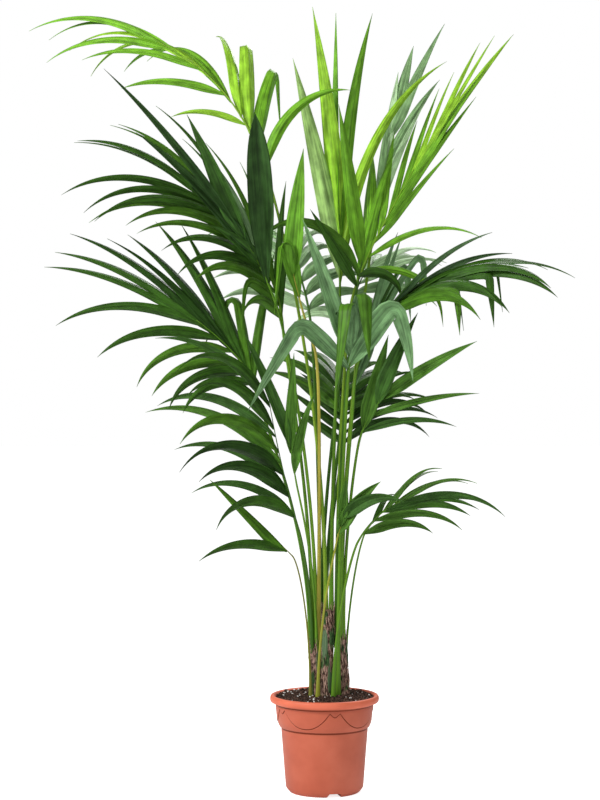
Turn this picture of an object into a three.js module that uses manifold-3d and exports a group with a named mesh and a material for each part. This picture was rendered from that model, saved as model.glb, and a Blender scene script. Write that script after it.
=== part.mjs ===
// A kentia palm clump in a terracotta-coloured pot.
// Millimetres, +Z up, +X to the right of the plant's front, which faces -Y.
// The origin is the centre of the pot's flat underside.
import * as THREE from "three";
import Module from "manifold-3d";
import { mergeVertices } from "three/addons/utils/BufferGeometryUtils.js";

const wasm = await Module();
wasm.setup();

// ---------------------------------------------------------------- driving dimensions

const GAP = 0.3; // between a piece and what carries it
const UP = new THREE.Vector3(0, 0, 1);

const POT = {
  height: 212, rimRadius: 120, lipHeight: 15, neckRadius: 108, ledgeRadius: 99, ledgeHeight: 138,
  ledgeStep: 3.5, footRadius: 85, baseRadius: 78, footChamfer: 10, wall: 4, floor: 12, sides: 32, turn: 4,
  notchFoot: 34, notchTop: 22, notchHeight: 9, notchDepth: 22, notchHeadings: [-75, 45, 165],
};
const SOIL = { edgeHeight: 200, topHeight: 206, flatRadius: 66, sides: 28 };

// Each plant of the clump: where it stands, the height of its leaf-sheath trunk above the soil,
// the trunk's radius at foot and top, and the ring on which its leaf stalks stand.
const PLANTS = {
  left: { x: -22, y: 10, height: 108, foot: 11, top: 13, ring: 9.5, lean: [-2, 2] },
  middle: { x: 8, y: -4, height: 190, foot: 13, top: 13, ring: 8, lean: [3, 0] },
  right: { x: 33, y: 8, height: 130, foot: 12, top: 13, ring: 8.5, lean: [-11, 2] },
  back: { x: -4, y: 48, height: 120, foot: 14, top: 12, ring: 6.5, lean: [0, 4] },
  front: { x: -15, y: -38 },
  side: { x: 19, y: -32 },
  far_side: { x: 46, y: 32 },
  edge: { x: -31, y: -24 },
  close: { x: 29, y: -15 },
};

const STALK = {
  footRadius: 4.4, neckRadius: 3.0, steps: 10, sides: 5,
  upright: 0.5, straight: 0.08, // of its span: how far its foot stands straight, and its neck
};
const RIB = { neckRadius: 3.8, tipRadius: 2.2, steps: 7, sides: 4 };

const LEAF = {
  steps: 24, // small steps of the path that a leaflet follows
  rings: [0, 5, 12, 18], // steps at which the solid leaflet has a cross-section
  thickness: 0.011, // of its length
  rootWidth: 0.13, fullWidthAt: 0.28, taperPower: 2.7, taperEase: 1.1,
  bluntFullWidthAt: 0.5, bluntTaperPower: 7, // of the few leaflets that stay broad to the end
  foldAt: 0.46, // where a creased leaflet folds, as a share of its length
  foldSpan: 0.06, // half the part of its length over which it folds
  rootDepth: 1.6, // where a leaflet is sunk into its rib
  steepest: 174, // degrees from upright
  pitch: -22, // how far each leaflet is turned about its own length, as in a blind
  rootShare: 0.2, // the part of a leaflet where it may meet its neighbours
  crossing: 0.12, // how much of a leaflet may cross its neighbours beyond that
};

// The space that each frond keeps to itself, as cells.
const CELL = 6;
const NUDGES = [
  [0, 0], [0, 14], [0, -14], [0, 28], [0, -28], [6, 0], [-6, 0], [6, 20], [-6, -20], [12, 0], [-12, 0],
];

// A frond leaves its plant at a heading (0 is +X, 90 the back). Collar, crest and tip of its rib
// are each [reach from the plant's axis, height, distance aside]. The crest is the point that
// the rib bends towards. Seat is where its stalk stands on the trunk's top, roll how far the blade
// is turned about its rib, crease the bend of its folded leaflets, which are listed by number, as
// the blunt ones are, and foldAt the share of their length where they fold. From is the share of
// the rib at which a side's leaflets begin. Values in a row run from the foot to the tip.
const FRONDS = [
  { name: "upright", plant: "middle", heading: 105, seat: 30, roll: 0, seed: 2, crease: 90,
    collar: [62, 1080, -45], crest: [68, 1180, -47], tip: [74, 1276, -48],
    left: { count: 2, width: [56, 36], length: [550, 490], fan: [18, -1], lift: [0, 0],
      droop: 4, folded: [] },
    right: { count: 3, width: [30, 34, 32], length: [660, 605, 470], fan: [4, 5, 5, 6, 7, 8, 8],
      lift: [30, 30, 20, 15, -30, -80, -80], droop: [70, 24, 0], folded: [] } },
  { name: "near_fall", plant: "close", heading: 275, roll: 0, seed: 338,
    crease: [88, 88, 134, 146, 159, 129, 129],
    collar: [27, 910, 20], crest: [42, 957, 22], tip: [62, 985, 24],
    left: { count: 2, width: [46, 50], length: [345, 280], fan: [30, 0], lift: 10,
      droop: [40, 10], folded: [0, 1] },
    right: { count: 3, width: [46, 36, 54], length: [385, 320, 300], fan: [64, 19, 15], lift: 10,
      droop: [5, 5, 10], folded: [0, 2] } },
  { name: "centre", plant: "right", heading: 18, seat: 216, roll: 90, seed: 22, crease: 90,
    collar: [26, 1095, -38], crest: [32, 1130, -38], tip: [40, 1165, -38],
    left: { count: 3, width: [30, 24, 46], length: [140, 300, 420], fan: [50, 32, 10], lift: 0,
      droop: [5, 5, 60, 130, 30, 3, 3], folded: [] },
    right: { count: 1, width: 26, length: 120, fan: 60, lift: 0, droop: 120, folded: [] } },
  { name: "top_left", plant: "middle", heading: 162, seat: 130, roll: -60, seed: 1, crease: 150,
    foldAt: 0.64, collar: [135, 1340, 0], crest: [205, 1575, 0], tip: [405, 1672, 0],
    left: { count: 4, from: 0.2, width: [16, 20], length: [150, 180, 280, 350], fan: [42, 38, 20, 6],
      lift: 5, droop: [40, 50, 60], folded: [] },
    right: { count: 10, width: [20, 42, 34, 28, 24, 20], length: [245, 400, 330, 360, 365, 380],
      fan: [26, 29, 24, 10, 6, 4], lift: [5, -10, 5], droop: [95, 30, 80, 100, 70, 60], folded: [1, 2] } },
  { name: "top_right", plant: "right", heading: 35, seat: 144, roll: 10, seed: 3, crease: 70,
    collar: [18, 1080, -21], crest: [56, 1180, -6], tip: [263, 1465, -6],
    left: { count: 8, from: 0.1, width: [34, 30, 22, 18], length: [400, 330, 310, 340],
      fan: [14, 20, 16, 5], lift: [60, 15, 5], droop: [6, 30, 10, 5], folded: [] },
    right: { count: 8, from: 0.2, width: [14, 18, 24, 18], length: [210, 260, 370, 350],
      fan: [70, 60, 60, 12, 8, 12, 12, 8], lift: [-20, 5, 10], droop: [110, 110, 110, 12, 5, 5, 5, 5],
      folded: [] } },
  { name: "high_back", plant: "right", heading: 68, seat: 72, roll: 0, seed: 4, crease: 80,
    collar: [177, 1230, -13], crest: [219, 1355, -9], tip: [322, 1515, -4],
    left: { count: 3, width: [24, 40], length: [300, 340, 340], fan: [12, 0, 0], lift: 5,
      droop: 10, folded: [] },
    right: { count: 3, width: [22, 36], length: [320, 370], fan: [14, 14], lift: 5,
      droop: 15, folded: [] } },
  { name: "left_dark", plant: "left", heading: 205, seat: 114, roll: -62, seed: 5, crease: 70,
    collar: [75, 1015, -3], crest: [85, 1185, -3], tip: [275, 1300, -3],
    left: { count: 11, width: [26, 22, 18], length: [200, 290, 380, 340], fan: [45, 26, 14], lift: 5,
      droop: [100, 60, 60], folded: [1] },
    right: { count: 11, width: [26, 28, 22, 18], length: [260, 340, 360, 330], fan: [10, 22, 12], lift: 5,
      droop: [20, 35, 55], folded: [] } },
  { name: "front_left", plant: "left", heading: 215, seat: 56, roll: 45, seed: 6, crease: 110,
    collar: [120, 1060, 29], crest: [161, 1160, 29], tip: [245, 1245, 39],
    left: { count: 2, width: [66, 36], length: [390, 300], fan: [25, 6], lift: 5,
      droop: [8, 15], folded: [], blunt: [0] },
    right: { count: 5, from: 0.2, width: [30, 34, 16], length: [260, 120, 500], fan: [32, 14, -6],
      lift: 5, droop: [30, 20, 12], folded: [] } },
  { name: "front_mid", plant: "left", heading: 266, seat: 354, roll: 0, seed: 7, crease: 150,
    collar: [64, 975, 3], crest: [104, 1080, -31], tip: [142, 1175, -45],
    left: { count: 1, from: 0.5, width: 48, length: 290, fan: 16, lift: 5, droop: 6, folded: [] },
    right: { count: 2, from: 0.35, width: [40, 30], length: [320, 220], fan: [8, 20], lift: 5,
      droop: [8, 10], folded: [0] } },
  { name: "left_mid", plant: "left", heading: 188, seat: 172, roll: -75, seed: 8, crease: 130,
    foldAt: 0.56, collar: [131, 880, -1], crest: [141, 945, -1], tip: [261, 1035, -1],
    left: { count: 6, width: 26, length: [180, 250, 340], fan: [64, 38, 8], lift: 5,
      droop: [70, 80, 50], folded: [] },
    right: { count: 9, width: [24, 32, 26, 22], length: [300, 350, 400, 380], fan: [24, 14, 8, 4], lift: 5,
      droop: [8, 20, 30, 40], folded: [1] } },
  { name: "left_low", plant: "left", heading: 185, seat: 238, roll: 0, seed: 9, crease: 60,
    collar: [38, 575, 44], crest: [81, 710, 69], tip: [111, 880, 94],
    left: { count: 6, width: [30, 34, 24], length: [210, 320, 300], fan: [34, 26, 20],
      lift: [-65, -60, -35], droop: [90, 95, 80], folded: [] },
    right: { count: 5, width: [20, 26, 20], length: [220, 320, 300], fan: [34, 28, 22],
      lift: [-65, -60, -35], droop: [80, 70, 60], folded: [] } },
  { name: "front_low", plant: "left", heading: 225, seat: 296, roll: 45, seed: 21, crease: 60,
    collar: [97, 680, 41], crest: [107, 720, 41], tip: [119, 770, 41],
    left: { count: 2, width: [30, 24], length: [180, 230], fan: [24, 8], lift: 5,
      droop: [20, 5], folded: [] },
    right: { count: 3, width: [30, 34, 26], length: [260, 340, 260], fan: [35, 5, 18], lift: 5,
      droop: [80, 5, 10], folded: [] } },
  { name: "bifid", plant: "edge", heading: 195, roll: -50, seed: 10, crease: 0,
    collar: [41, 520, -3], crest: [51, 530, -3], tip: [61, 540, -3],
    left: { count: 1, width: 24, length: 240, fan: 30, lift: 0, droop: 45, folded: [] },
    right: { count: 1, width: 40, length: 235, fan: 10, lift: 0, droop: 8, folded: [] } },
  { name: "yellow", plant: "front", heading: 320, roll: -50, seed: 11, crease: 0,
    collar: [50, 550, 2], crest: [60, 590, 2], tip: [80, 620, 2],
    left: { count: 2, width: [36, 30], length: [140, 170], fan: [4, 24], lift: 0,
      droop: [5, 100], folded: [] },
    right: { count: 1, width: 24, length: 110, fan: 0, lift: 0,
      droop: 10, folded: [] } },
  { name: "green_low", plant: "side", heading: 335, roll: -30, seed: 12, crease: 70,
    collar: [53, 550, 11], crest: [93, 620, 11], tip: [173, 650, 11],
    left: { count: 4, width: [24, 22, 18], length: [150, 240, 240], fan: [44, 24, 6], lift: 5,
      droop: [60, 60, 60], folded: [] },
    right: { count: 4, width: [26, 22, 18], length: [130, 220, 240], fan: [62, 36, 8], lift: 5,
      droop: [80, 60, 50], folded: [] } },
  { name: "green_behind", plant: "far_side", heading: 20, roll: 30, seed: 13, crease: 70,
    collar: [32, 570, -44], crest: [67, 620, -44], tip: [117, 640, -44],
    left: { count: 3, width: 22, length: [130, 200, 210], fan: [26, 16, 8], lift: 5,
      droop: [70, 60, 50], folded: [] },
    right: { count: 3, width: 22, length: [150, 200, 210], fan: [56, 34, 10], lift: 5,
      droop: [50, 60, 50], folded: [] } },
  { name: "right_mid", plant: "right", heading: 325, seat: 0, roll: -65, seed: 14, crease: 80,
    collar: [43, 770, 14], crest: [58, 820, 14], tip: [118, 880, 14],
    left: { count: 3, width: [16, 18, 36], length: [190, 240, 270], fan: [48, 36, 2], lift: 5,
      droop: [50, 20, 6], folded: [] },
    right: { count: 2, width: [42, 36], length: [200, 230], fan: [6, 18], lift: 5,
      droop: 5, folded: [] } },
  { name: "right_behind", plant: "back", heading: 95, seat: 320, roll: 0, seed: 15, crease: 80,
    collar: [16, 815, -43], crest: [36, 880, -43], tip: [126, 925, -43],
    left: { count: 4, width: 26, length: [220, 250, 220], fan: [35, 25, 10], lift: 5,
      droop: [40, 40, 40], folded: [] },
    right: { count: 4, width: 26, length: [200, 240, 240], fan: [50, 36, 6], lift: 5,
      droop: [60, 40, 30], folded: [] } },
  { name: "right_high", plant: "right", heading: 345, seat: 288, roll: 30, seed: 77, crease: [160, 140],
    foldAt: 0.64, collar: [35, 870, -9], crest: [40, 1060, -2], tip: [245, 1135, 3],
    left: { count: 11, width: [36, 30, 24], length: [420, 320, 290], fan: [28, 6, 6], lift: [-20, -10, 5],
      droop: [10, 50, 60], folded: [2, 3, 6, 8] },
    right: { count: 9, from: 0.4, width: 30, length: [250, 290, 290], fan: [60, 45, 6], lift: 5,
      droop: [90, 80, 60], folded: [3, 6] } },
  { name: "back_low", plant: "back", heading: 80, seat: 50, roll: 0, seed: 16, crease: 60,
    collar: [62, 745, -35], crest: [87, 830, -35], tip: [172, 895, -35],
    left: { count: 6, width: 22, length: [170, 180, 150], fan: [50, 45, 15], lift: 5,
      droop: [5, 10, 20], folded: [] },
    right: { count: 7, width: 20, length: [220, 240, 190], fan: [46, 45, 15], lift: 5,
      droop: [90, 60, 40], folded: [] } },
  { name: "back_left", plant: "back", heading: 118, seat: 140, roll: 0, seed: 19, crease: 70,
    collar: [55, 1040, 1], crest: [100, 1190, 1], tip: [245, 1260, 1],
    left: { count: 8, width: 28, length: [200, 250, 240], fan: [55, 35, 12], lift: 5,
      droop: [70, 60, 50], folded: [] },
    right: { count: 8, width: 28, length: [200, 250, 240], fan: [55, 35, 12], lift: 5,
      droop: [70, 60, 50], folded: [] } },
  { name: "back_right", plant: "back", heading: 62, seat: 230, roll: 0, seed: 20, crease: 70,
    collar: [65, 1015, -29], crest: [105, 1130, -24], tip: [255, 1190, -9],
    left: { count: 8, width: 28, length: [200, 250, 240], fan: [55, 35, 12], lift: 5,
      droop: [70, 60, 50], folded: [] },
    right: { count: 8, width: 28, length: [200, 250, 240], fan: [55, 35, 12], lift: 5,
      droop: [70, 60, 50], folded: [] } },
];

// ---------------------------------------------------------------- small helpers

const rad = THREE.MathUtils.degToRad;

/** Random numbers from 0 to 1 that are the same each time. */
class Dice {
  constructor(seed) {
    this.state = seed * 7919 + 13;
  }

  next() {
    this.state = (this.state * 16807) % 2147483647;
    return this.state / 2147483647;
  }

  spread() {
    return this.next() * 2 - 1;
  }
}

/** A value that runs along a blade: one number, or several spaced evenly from foot to tip. */
function along(values, share) {
  if (!Array.isArray(values)) return values;
  const place = Math.min(share, 0.9999) * (values.length - 1);
  const first = Math.floor(place);
  return THREE.MathUtils.lerp(values[first], values[first + 1], place - first);
}

/** A closed body through rings of points, each anticlockwise as seen from the far end. */
function loft(rings, tip = null) {
  const sides = rings[0].length;
  const points = rings.flat();
  const faces = [];
  for (let start = 0; start < points.length - sides; start += sides) {
    for (let k = 0; k < sides; k++) {
      const a = start + k;
      const b = start + ((k + 1) % sides);
      faces.push(a, b, b + sides, a, b + sides, a + sides);
    }
  }
  for (let k = 1; k < sides - 1; k++) faces.push(0, k + 1, k);
  const last = points.length - sides;
  if (tip) {
    points.push(tip);
    for (let k = 0; k < sides; k++) faces.push(last + k, last + ((k + 1) % sides), points.length - 1);
  } else {
    for (let k = 1; k < sides - 1; k++) faces.push(last, last + k, last + k + 1);
  }
  const geometry = new THREE.BufferGeometry().setFromPoints(points);
  geometry.setIndex(faces);
  return geometry;
}

function toSolid(geometry) {
  const bare = geometry.clone();
  bare.deleteAttribute("normal");
  bare.deleteAttribute("uv");
  const merged = mergeVertices(bare, 1e-4);
  return new wasm.Manifold(new wasm.Mesh({
    numProp: 3,
    vertProperties: new Float32Array(merged.attributes.position.array),
    triVerts: new Uint32Array(merged.index.array),
  }));
}

function toGeometry(solid) {
  const { vertProperties, triVerts } = solid.getMesh();
  const geometry = new THREE.BufferGeometry();
  geometry.setAttribute("position", new THREE.BufferAttribute(vertProperties, 3));
  geometry.setIndex(new THREE.BufferAttribute(triVerts, 1));
  return geometry;
}

/** The outer body of a joined solid, so that no pocket stays sealed between crossing leaflets. */
function outerBody(solid) {
  return solid.decompose().reduce((best, part) => (part.volume() > best.volume() ? part : best));
}

function standard(color, roughness) {
  return new THREE.MeshStandardMaterial({ color, roughness, metalness: 0 });
}

function named(name, geometry, material) {
  const mesh = new THREE.Mesh(geometry, material);
  mesh.name = name;
  return mesh;
}

/** Turns a profile of [radius, height] about the upright axis. */
function turned(profile, sides) {
  const outline = profile.map(([radius, height]) => new THREE.Vector2(radius, height));
  return new THREE.LatheGeometry(outline, sides).rotateX(Math.PI / 2);
}

// ---------------------------------------------------------------- pot and soil

function potGeometry() {
  const p = POT;
  const lipFoot = p.height - p.lipHeight;
  const insideTop = p.neckRadius - p.wall + 2;
  const outline = [
    [0, 0], [p.baseRadius, 0], [p.footRadius, p.footChamfer],
    [p.ledgeRadius - p.ledgeStep, p.ledgeHeight - 1], [p.ledgeRadius, p.ledgeHeight + 1],
    [p.neckRadius, lipFoot - 3], [p.rimRadius - 3, lipFoot - 1], [p.rimRadius, lipFoot + 3],
    [p.rimRadius, p.height - 4], [p.rimRadius - 4, p.height], [insideTop + 3, p.height],
    [insideTop, p.height - 3], [p.footRadius - p.wall, p.floor], [0, p.floor],
  ];
  const body = toSolid(turned(outline, p.sides).rotateZ(rad(p.turn)));
  const corners = [[-1, -1], [1, -1], [1, 1], [-1, 1]];
  const notchRing = (height, width) => corners.map(([deep, wide]) => new THREE.Vector3(
    p.footRadius + (deep * p.notchDepth) / 2, (wide * width) / 2, height));
  const notch = loft([notchRing(-1, p.notchFoot), notchRing(p.notchHeight, p.notchTop)]);
  const notches = p.notchHeadings.map((heading) => toSolid(notch.clone().rotateZ(rad(heading))));
  return toGeometry(notches.reduce((solid, cut) => solid.subtract(cut), body));
}

function soilGeometry() {
  const innerRadius = (height) => {
    const top = POT.neckRadius - POT.wall + 2;
    const bottom = POT.footRadius - POT.wall;
    const share = (height - POT.floor) / (POT.height - 3 - POT.floor);
    return THREE.MathUtils.lerp(bottom, top, share) - GAP * 2;
  };
  const bottom = POT.floor + GAP;
  return turned([
    [0, bottom], [innerRadius(bottom), bottom], [innerRadius(SOIL.edgeHeight), SOIL.edgeHeight],
    [SOIL.flatRadius, SOIL.topHeight], [0, SOIL.topHeight],
  ], SOIL.sides);
}

// ---------------------------------------------------------------- trunks

/** A short trunk of old leaf sheaths: flared foot, a step where each sheath ends, flat top. */
function trunkGeometry(plant) {
  const sheaths = 4;
  const foot = SOIL.topHeight + GAP;
  const rings = [];
  const ring = (share, radius) => {
    const centre = new THREE.Vector3(
      plant.x + plant.lean[0] * (share - 1), plant.y + plant.lean[1] * (share - 1),
      foot + share * plant.height);
    return Array.from({ length: 9 }, (_, k) => {
      const turn = (k / 9) * Math.PI * 2;
      return new THREE.Vector3(Math.cos(turn), Math.sin(turn), 0).multiplyScalar(radius).add(centre);
    });
  };
  rings.push(ring(0, plant.foot + 2));
  for (let k = 0; k < sheaths; k++) {
    const low = (k + 0.35) / sheaths;
    const high = (k + 0.95) / sheaths;
    const radius = (share) => THREE.MathUtils.lerp(plant.foot, plant.top, share);
    rings.push(ring(low, radius(low) + 0.5));
    rings.push(ring(high, radius(high) - (k < sheaths - 1 ? 1 : 0)));
  }
  rings.push(ring(1, plant.top));
  return loft(rings);
}

// ---------------------------------------------------------------- stalks and ribs

/** The points and directions that a frond is worked out from. */
function layOut(frond) {
  const plant = PLANTS[frond.plant];
  const turn = rad(frond.heading);
  const outward = new THREE.Vector3(Math.cos(turn), Math.sin(turn), 0);
  const aside = new THREE.Vector3(-Math.sin(turn), Math.cos(turn), 0);
  const place = ([reach, height, off]) => new THREE.Vector3(plant.x, plant.y, height)
    .addScaledVector(outward, reach).addScaledVector(aside, off);
  const footHeight = SOIL.topHeight + GAP + (plant.height ? plant.height + GAP : 0);
  const seat = rad(frond.seat ?? 0);
  const foot = new THREE.Vector3(Math.cos(seat), Math.sin(seat), 0).multiplyScalar(plant.ring ?? 0)
    .add(new THREE.Vector3(plant.x, plant.y, footHeight));
  const collar = place(frond.collar);
  const crest = place(frond.crest);
  const start = crest.clone().sub(collar).normalize();
  const neck = collar.clone().addScaledVector(start, -GAP);
  const span = neck.distanceTo(foot);
  return {
    aside,
    stalk: new THREE.CubicBezierCurve3(
      foot, foot.clone().addScaledVector(UP, span * STALK.upright),
      neck.clone().addScaledVector(start, -span * STALK.straight), neck),
    rib: new THREE.QuadraticBezierCurve3(collar, crest, place(frond.tip)),
  };
}

/** Direction along a limb, its side direction and the way its upper face looks. */
function frameAt(curve, share, aside, roll = 0) {
  const ahead = curve.getTangent(share);
  const side = aside.clone().addScaledVector(ahead, -aside.dot(ahead)).normalize();
  side.applyAxisAngle(ahead, rad(roll));
  return { at: curve.getPoint(share), ahead, side, face: ahead.clone().cross(side) };
}

function limb(curve, aside, sizes, startRadius, endRadius) {
  const rings = [];
  for (let step = 0; step <= sizes.steps; step++) {
    const share = step / sizes.steps;
    const { at, side, face } = frameAt(curve, share, aside);
    const radius = THREE.MathUtils.lerp(startRadius, endRadius, share);
    rings.push(Array.from({ length: sizes.sides }, (_, k) => {
      const turn = ((k + 0.5) / sizes.sides) * Math.PI * 2;
      return at.clone().addScaledVector(side, radius * Math.cos(turn))
        .addScaledVector(face, radius * Math.sin(turn));
    }));
  }
  return loft(rings);
}

// ---------------------------------------------------------------- leaflets

/** Width of a leaflet along its length, as a share of its full width. */
function leafWidth(share, blunt) {
  const fullWidthAt = blunt ? LEAF.bluntFullWidthAt : LEAF.fullWidthAt;
  const swell = Math.sin(Math.min(1, share / fullWidthAt) * Math.PI / 2);
  const taper = (1 - share ** (blunt ? LEAF.bluntTaperPower : LEAF.taperPower)) ** LEAF.taperEase;
  return (LEAF.rootWidth + (1 - LEAF.rootWidth) * swell) * taper;
}

/** A leaflet's middle line. It bends down by its weight in the upright plane it leaves in. */
function leafPath(root, ahead, face, shape) {
  const level = Math.hypot(ahead.x, ahead.y);
  const out = new THREE.Vector3(ahead.x / level, ahead.y / level, 0);
  const axis = UP.clone().cross(out);
  const direction = ahead.clone();
  const normal = face.clone();
  const at = root.clone();
  const path = [{ at: at.clone(), ahead: direction.clone(), normal: normal.clone() }];
  let steep = THREE.MathUtils.radToDeg(Math.atan2(level, ahead.z));
  for (let step = 0; step < LEAF.steps; step++) {
    const share = (step + 0.5) / LEAF.steps;
    let bend = (shape.droop * (0.5 + share)) / LEAF.steps;
    if (Math.abs(share - shape.creaseAt) < LEAF.foldSpan) {
      bend += shape.crease / (2 * LEAF.foldSpan * LEAF.steps);
    }
    bend = Math.max(0, Math.min(bend, LEAF.steepest - steep));
    steep += bend;
    direction.applyAxisAngle(axis, rad(bend));
    normal.applyAxisAngle(axis, rad(bend));
    normal.applyAxisAngle(direction, rad(shape.twist / LEAF.steps));
    at.addScaledVector(direction, shape.length / LEAF.steps);
    path.push({ at: at.clone(), ahead: direction.clone(), normal: normal.clone() });
  }
  return path;
}

/** The leaflets that a frond wants, in order up its rib, each with its shape. */
function wantedLeaflets(frond) {
  const dice = new Dice(frond.seed);
  const wanted = [];
  for (const [hand, side] of [[1, frond.left], [-1, frond.right]]) {
    for (let k = 0; k < side.count; k++) {
      const share = THREE.MathUtils.lerp(side.from ?? 0, 1, (k + 0.5) / side.count);
      wanted.push({
        hand, share,
        fan: along(side.fan, share) + dice.spread() * 4,
        lift: along(side.lift, share) + dice.spread() * 7,
        length: along(side.length, share) * (1 + dice.spread() * 0.06),
        width: along(side.width, share) * (1 + dice.spread() * 0.1),
        droop: along(side.droop, share) * (1 + dice.spread() * 0.15),
        crease: side.folded.includes(k) ? along(frond.crease, share) : 0,
        creaseAt: (frond.foldAt ?? LEAF.foldAt) + dice.spread() * 0.08,
        twist: dice.spread() * 30,
        blunt: side.blunt?.includes(k) ?? false,
      });
    }
  }
  return wanted;
}

/** Which frond or limb holds each small cell of the crown, and which leaflet crosses it. */
class Space {
  constructor() {
    this.owners = new Map();
    this.leaflets = new Map();
  }

  key(point, dx = 0, dy = 0, dz = 0) {
    const x = Math.floor(point.x / CELL) + dx + 512;
    const y = Math.floor(point.y / CELL) + dy + 512;
    const z = Math.floor(point.z / CELL) + dz + 512;
    return (x * 1024 + y) * 1024 + z;
  }

  take(point, owner) {
    for (let dx = -1; dx <= 1; dx++) {
      for (let dy = -1; dy <= 1; dy++) {
        for (let dz = -1; dz <= 1; dz++) {
          const key = this.key(point, dx, dy, dz);
          if (!this.owners.has(key)) this.owners.set(key, owner);
        }
      }
    }
  }

  /** Whether a leaflet clears the other fronds, and crosses its own frond's leaflets hardly at all. */
  fits(samples, owner) {
    let crossings = 0;
    for (const { point, share } of samples) {
      const key = this.key(point);
      const holder = this.owners.get(key);
      if (holder !== undefined && holder !== owner) return false;
      if (share > LEAF.rootShare && this.leaflets.has(key)) crossings++;
    }
    return crossings <= samples.length * LEAF.crossing;
  }

  settle(samples, owner) {
    for (const { point, share } of samples) {
      this.take(point, owner);
      if (share > LEAF.rootShare) this.leaflets.set(this.key(point), owner);
    }
  }
}

/** Points spread over a leaflet's face, close enough to meet every cell that it crosses. */
function leafSamples(path, shape) {
  const samples = [];
  for (let step = 1; step < path.length; step++) {
    const share = step / LEAF.steps;
    const half = (shape.width / 2) * leafWidth(share, shape.blunt);
    const { at, ahead, normal } = path[step];
    const side = ahead.clone().cross(normal);
    const before = path[step - 1].at;
    const parts = Math.max(1, Math.ceil((2 * half) / CELL));
    const rows = Math.ceil(at.distanceTo(before) / CELL);
    for (let row = 0; row < rows; row++) {
      const middle = at.clone().lerp(before, row / rows);
      for (let k = -parts; k <= parts; k++) {
        samples.push({ share, point: middle.clone().addScaledVector(side, (half * k) / parts) });
      }
    }
  }
  return samples;
}

/** The leaflets that find room, turned a little where their first place is taken. */
function placedLeaflets(frond, space) {
  const { rib, aside } = layOut(frond);
  const placed = [];
  for (const shape of wantedLeaflets(frond)) {
    const frame = frameAt(rib, shape.share * 0.97 + 0.02, aside, frond.roll);
    for (const [fanNudge, liftNudge] of NUDGES) {
      const fan = rad(shape.fan + fanNudge);
      const lift = rad(shape.lift + liftNudge);
      const across = frame.side.clone().multiplyScalar(shape.hand * Math.cos(lift))
        .addScaledVector(frame.face, Math.sin(lift));
      const face = frame.face.clone().multiplyScalar(Math.cos(lift))
        .addScaledVector(frame.side, -shape.hand * Math.sin(lift));
      const ahead = frame.ahead.clone().multiplyScalar(Math.cos(fan))
        .addScaledVector(across, Math.sin(fan));
      face.applyAxisAngle(ahead, rad(LEAF.pitch) * shape.hand);
      const path = leafPath(frame.at, ahead, face, shape);
      const samples = leafSamples(path, shape);
      if (space.fits(samples, frond.name)) {
        space.settle(samples, frond.name);
        placed.push({ shape, path });
        break;
      }
    }
  }
  return placed;
}

function leafGeometry({ shape, path }) {
  const rings = LEAF.rings.map((step) => {
    const depth = step === 0 ? LEAF.rootDepth : shape.length * LEAF.thickness;
    const { at, ahead, normal } = path[step];
    const side = ahead.clone().cross(normal)
      .multiplyScalar((shape.width / 2) * leafWidth(step / LEAF.steps, shape.blunt));
    return [at.clone().add(side), at.clone().addScaledVector(normal, -depth), at.clone().sub(side)];
  });
  return loft(rings, path[LEAF.steps].at);
}

// ---------------------------------------------------------------- the whole plant

const terracotta = standard(0xc2684c, 0.6);
const earth = standard(0x3a2a22, 1);
const bark = standard(0x6b4a3a, 0.9);
const stalkGreen = standard(0x6f9a3a, 0.5);
const leafGreen = standard(0x3f6b2c, 0.45);

const palm = new THREE.Group();
palm.add(named("pot", potGeometry(), terracotta));
palm.add(named("soil", soilGeometry(), earth));
for (const [name, plant] of Object.entries(PLANTS)) {
  if (plant.height) palm.add(named(`trunk_${name}`, trunkGeometry(plant), bark));
}

const space = new Space();
for (const frond of FRONDS) {
  const { stalk, rib, aside } = layOut(frond);
  stalk.getSpacedPoints(200).slice(0, -4).forEach((point) => space.take(point, `${frond.name} stalk`));
  rib.getSpacedPoints(120).forEach((point) => space.take(point, frond.name));
  palm.add(named(`stalk_${frond.name}`,
    limb(stalk, aside, STALK, STALK.footRadius, STALK.neckRadius), stalkGreen));
}
for (const frond of FRONDS) {
  const { rib, aside } = layOut(frond);
  const spine = toSolid(limb(rib, aside, RIB, RIB.neckRadius, RIB.tipRadius));
  const leaflets = placedLeaflets(frond, space).map((leaflet) => toSolid(leafGeometry(leaflet)));
  palm.add(named(`frond_${frond.name}`,
    toGeometry(outerBody(wasm.Manifold.union([spine, ...leaflets]))), leafGreen));
}

export default palm;
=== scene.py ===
# %% [markdown]
# # A kentia palm in its pot
# The palm is a clump: several young plants share one pot, each with a short trunk of old leaf
# sheaths, and long bare stalks that carry arching feather leaves, the fronds. The measured solids
# come first, and everything made here grows over them at the same places and sizes.

# %% The measured solids
import math

import bpy
import numpy as np
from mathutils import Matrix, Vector, noise


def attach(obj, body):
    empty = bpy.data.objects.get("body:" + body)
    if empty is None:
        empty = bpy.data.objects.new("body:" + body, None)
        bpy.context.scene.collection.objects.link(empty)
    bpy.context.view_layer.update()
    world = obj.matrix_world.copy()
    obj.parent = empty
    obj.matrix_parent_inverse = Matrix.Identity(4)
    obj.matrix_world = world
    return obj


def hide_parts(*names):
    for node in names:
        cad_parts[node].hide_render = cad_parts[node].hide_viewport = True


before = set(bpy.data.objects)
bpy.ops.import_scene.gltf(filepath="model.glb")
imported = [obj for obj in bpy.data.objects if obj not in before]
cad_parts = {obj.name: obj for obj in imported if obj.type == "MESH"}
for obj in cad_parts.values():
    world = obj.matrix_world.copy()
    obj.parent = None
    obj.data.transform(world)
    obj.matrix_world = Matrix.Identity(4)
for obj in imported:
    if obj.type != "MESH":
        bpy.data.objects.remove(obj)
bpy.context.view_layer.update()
MM = 0.001

# %% [markdown]
# ## Camera
# The plant is seen from a little over four metres away, at half its height, with a long lens, so
# the stalks stay upright and the pot's rim shows as a narrow ellipse.

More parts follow.
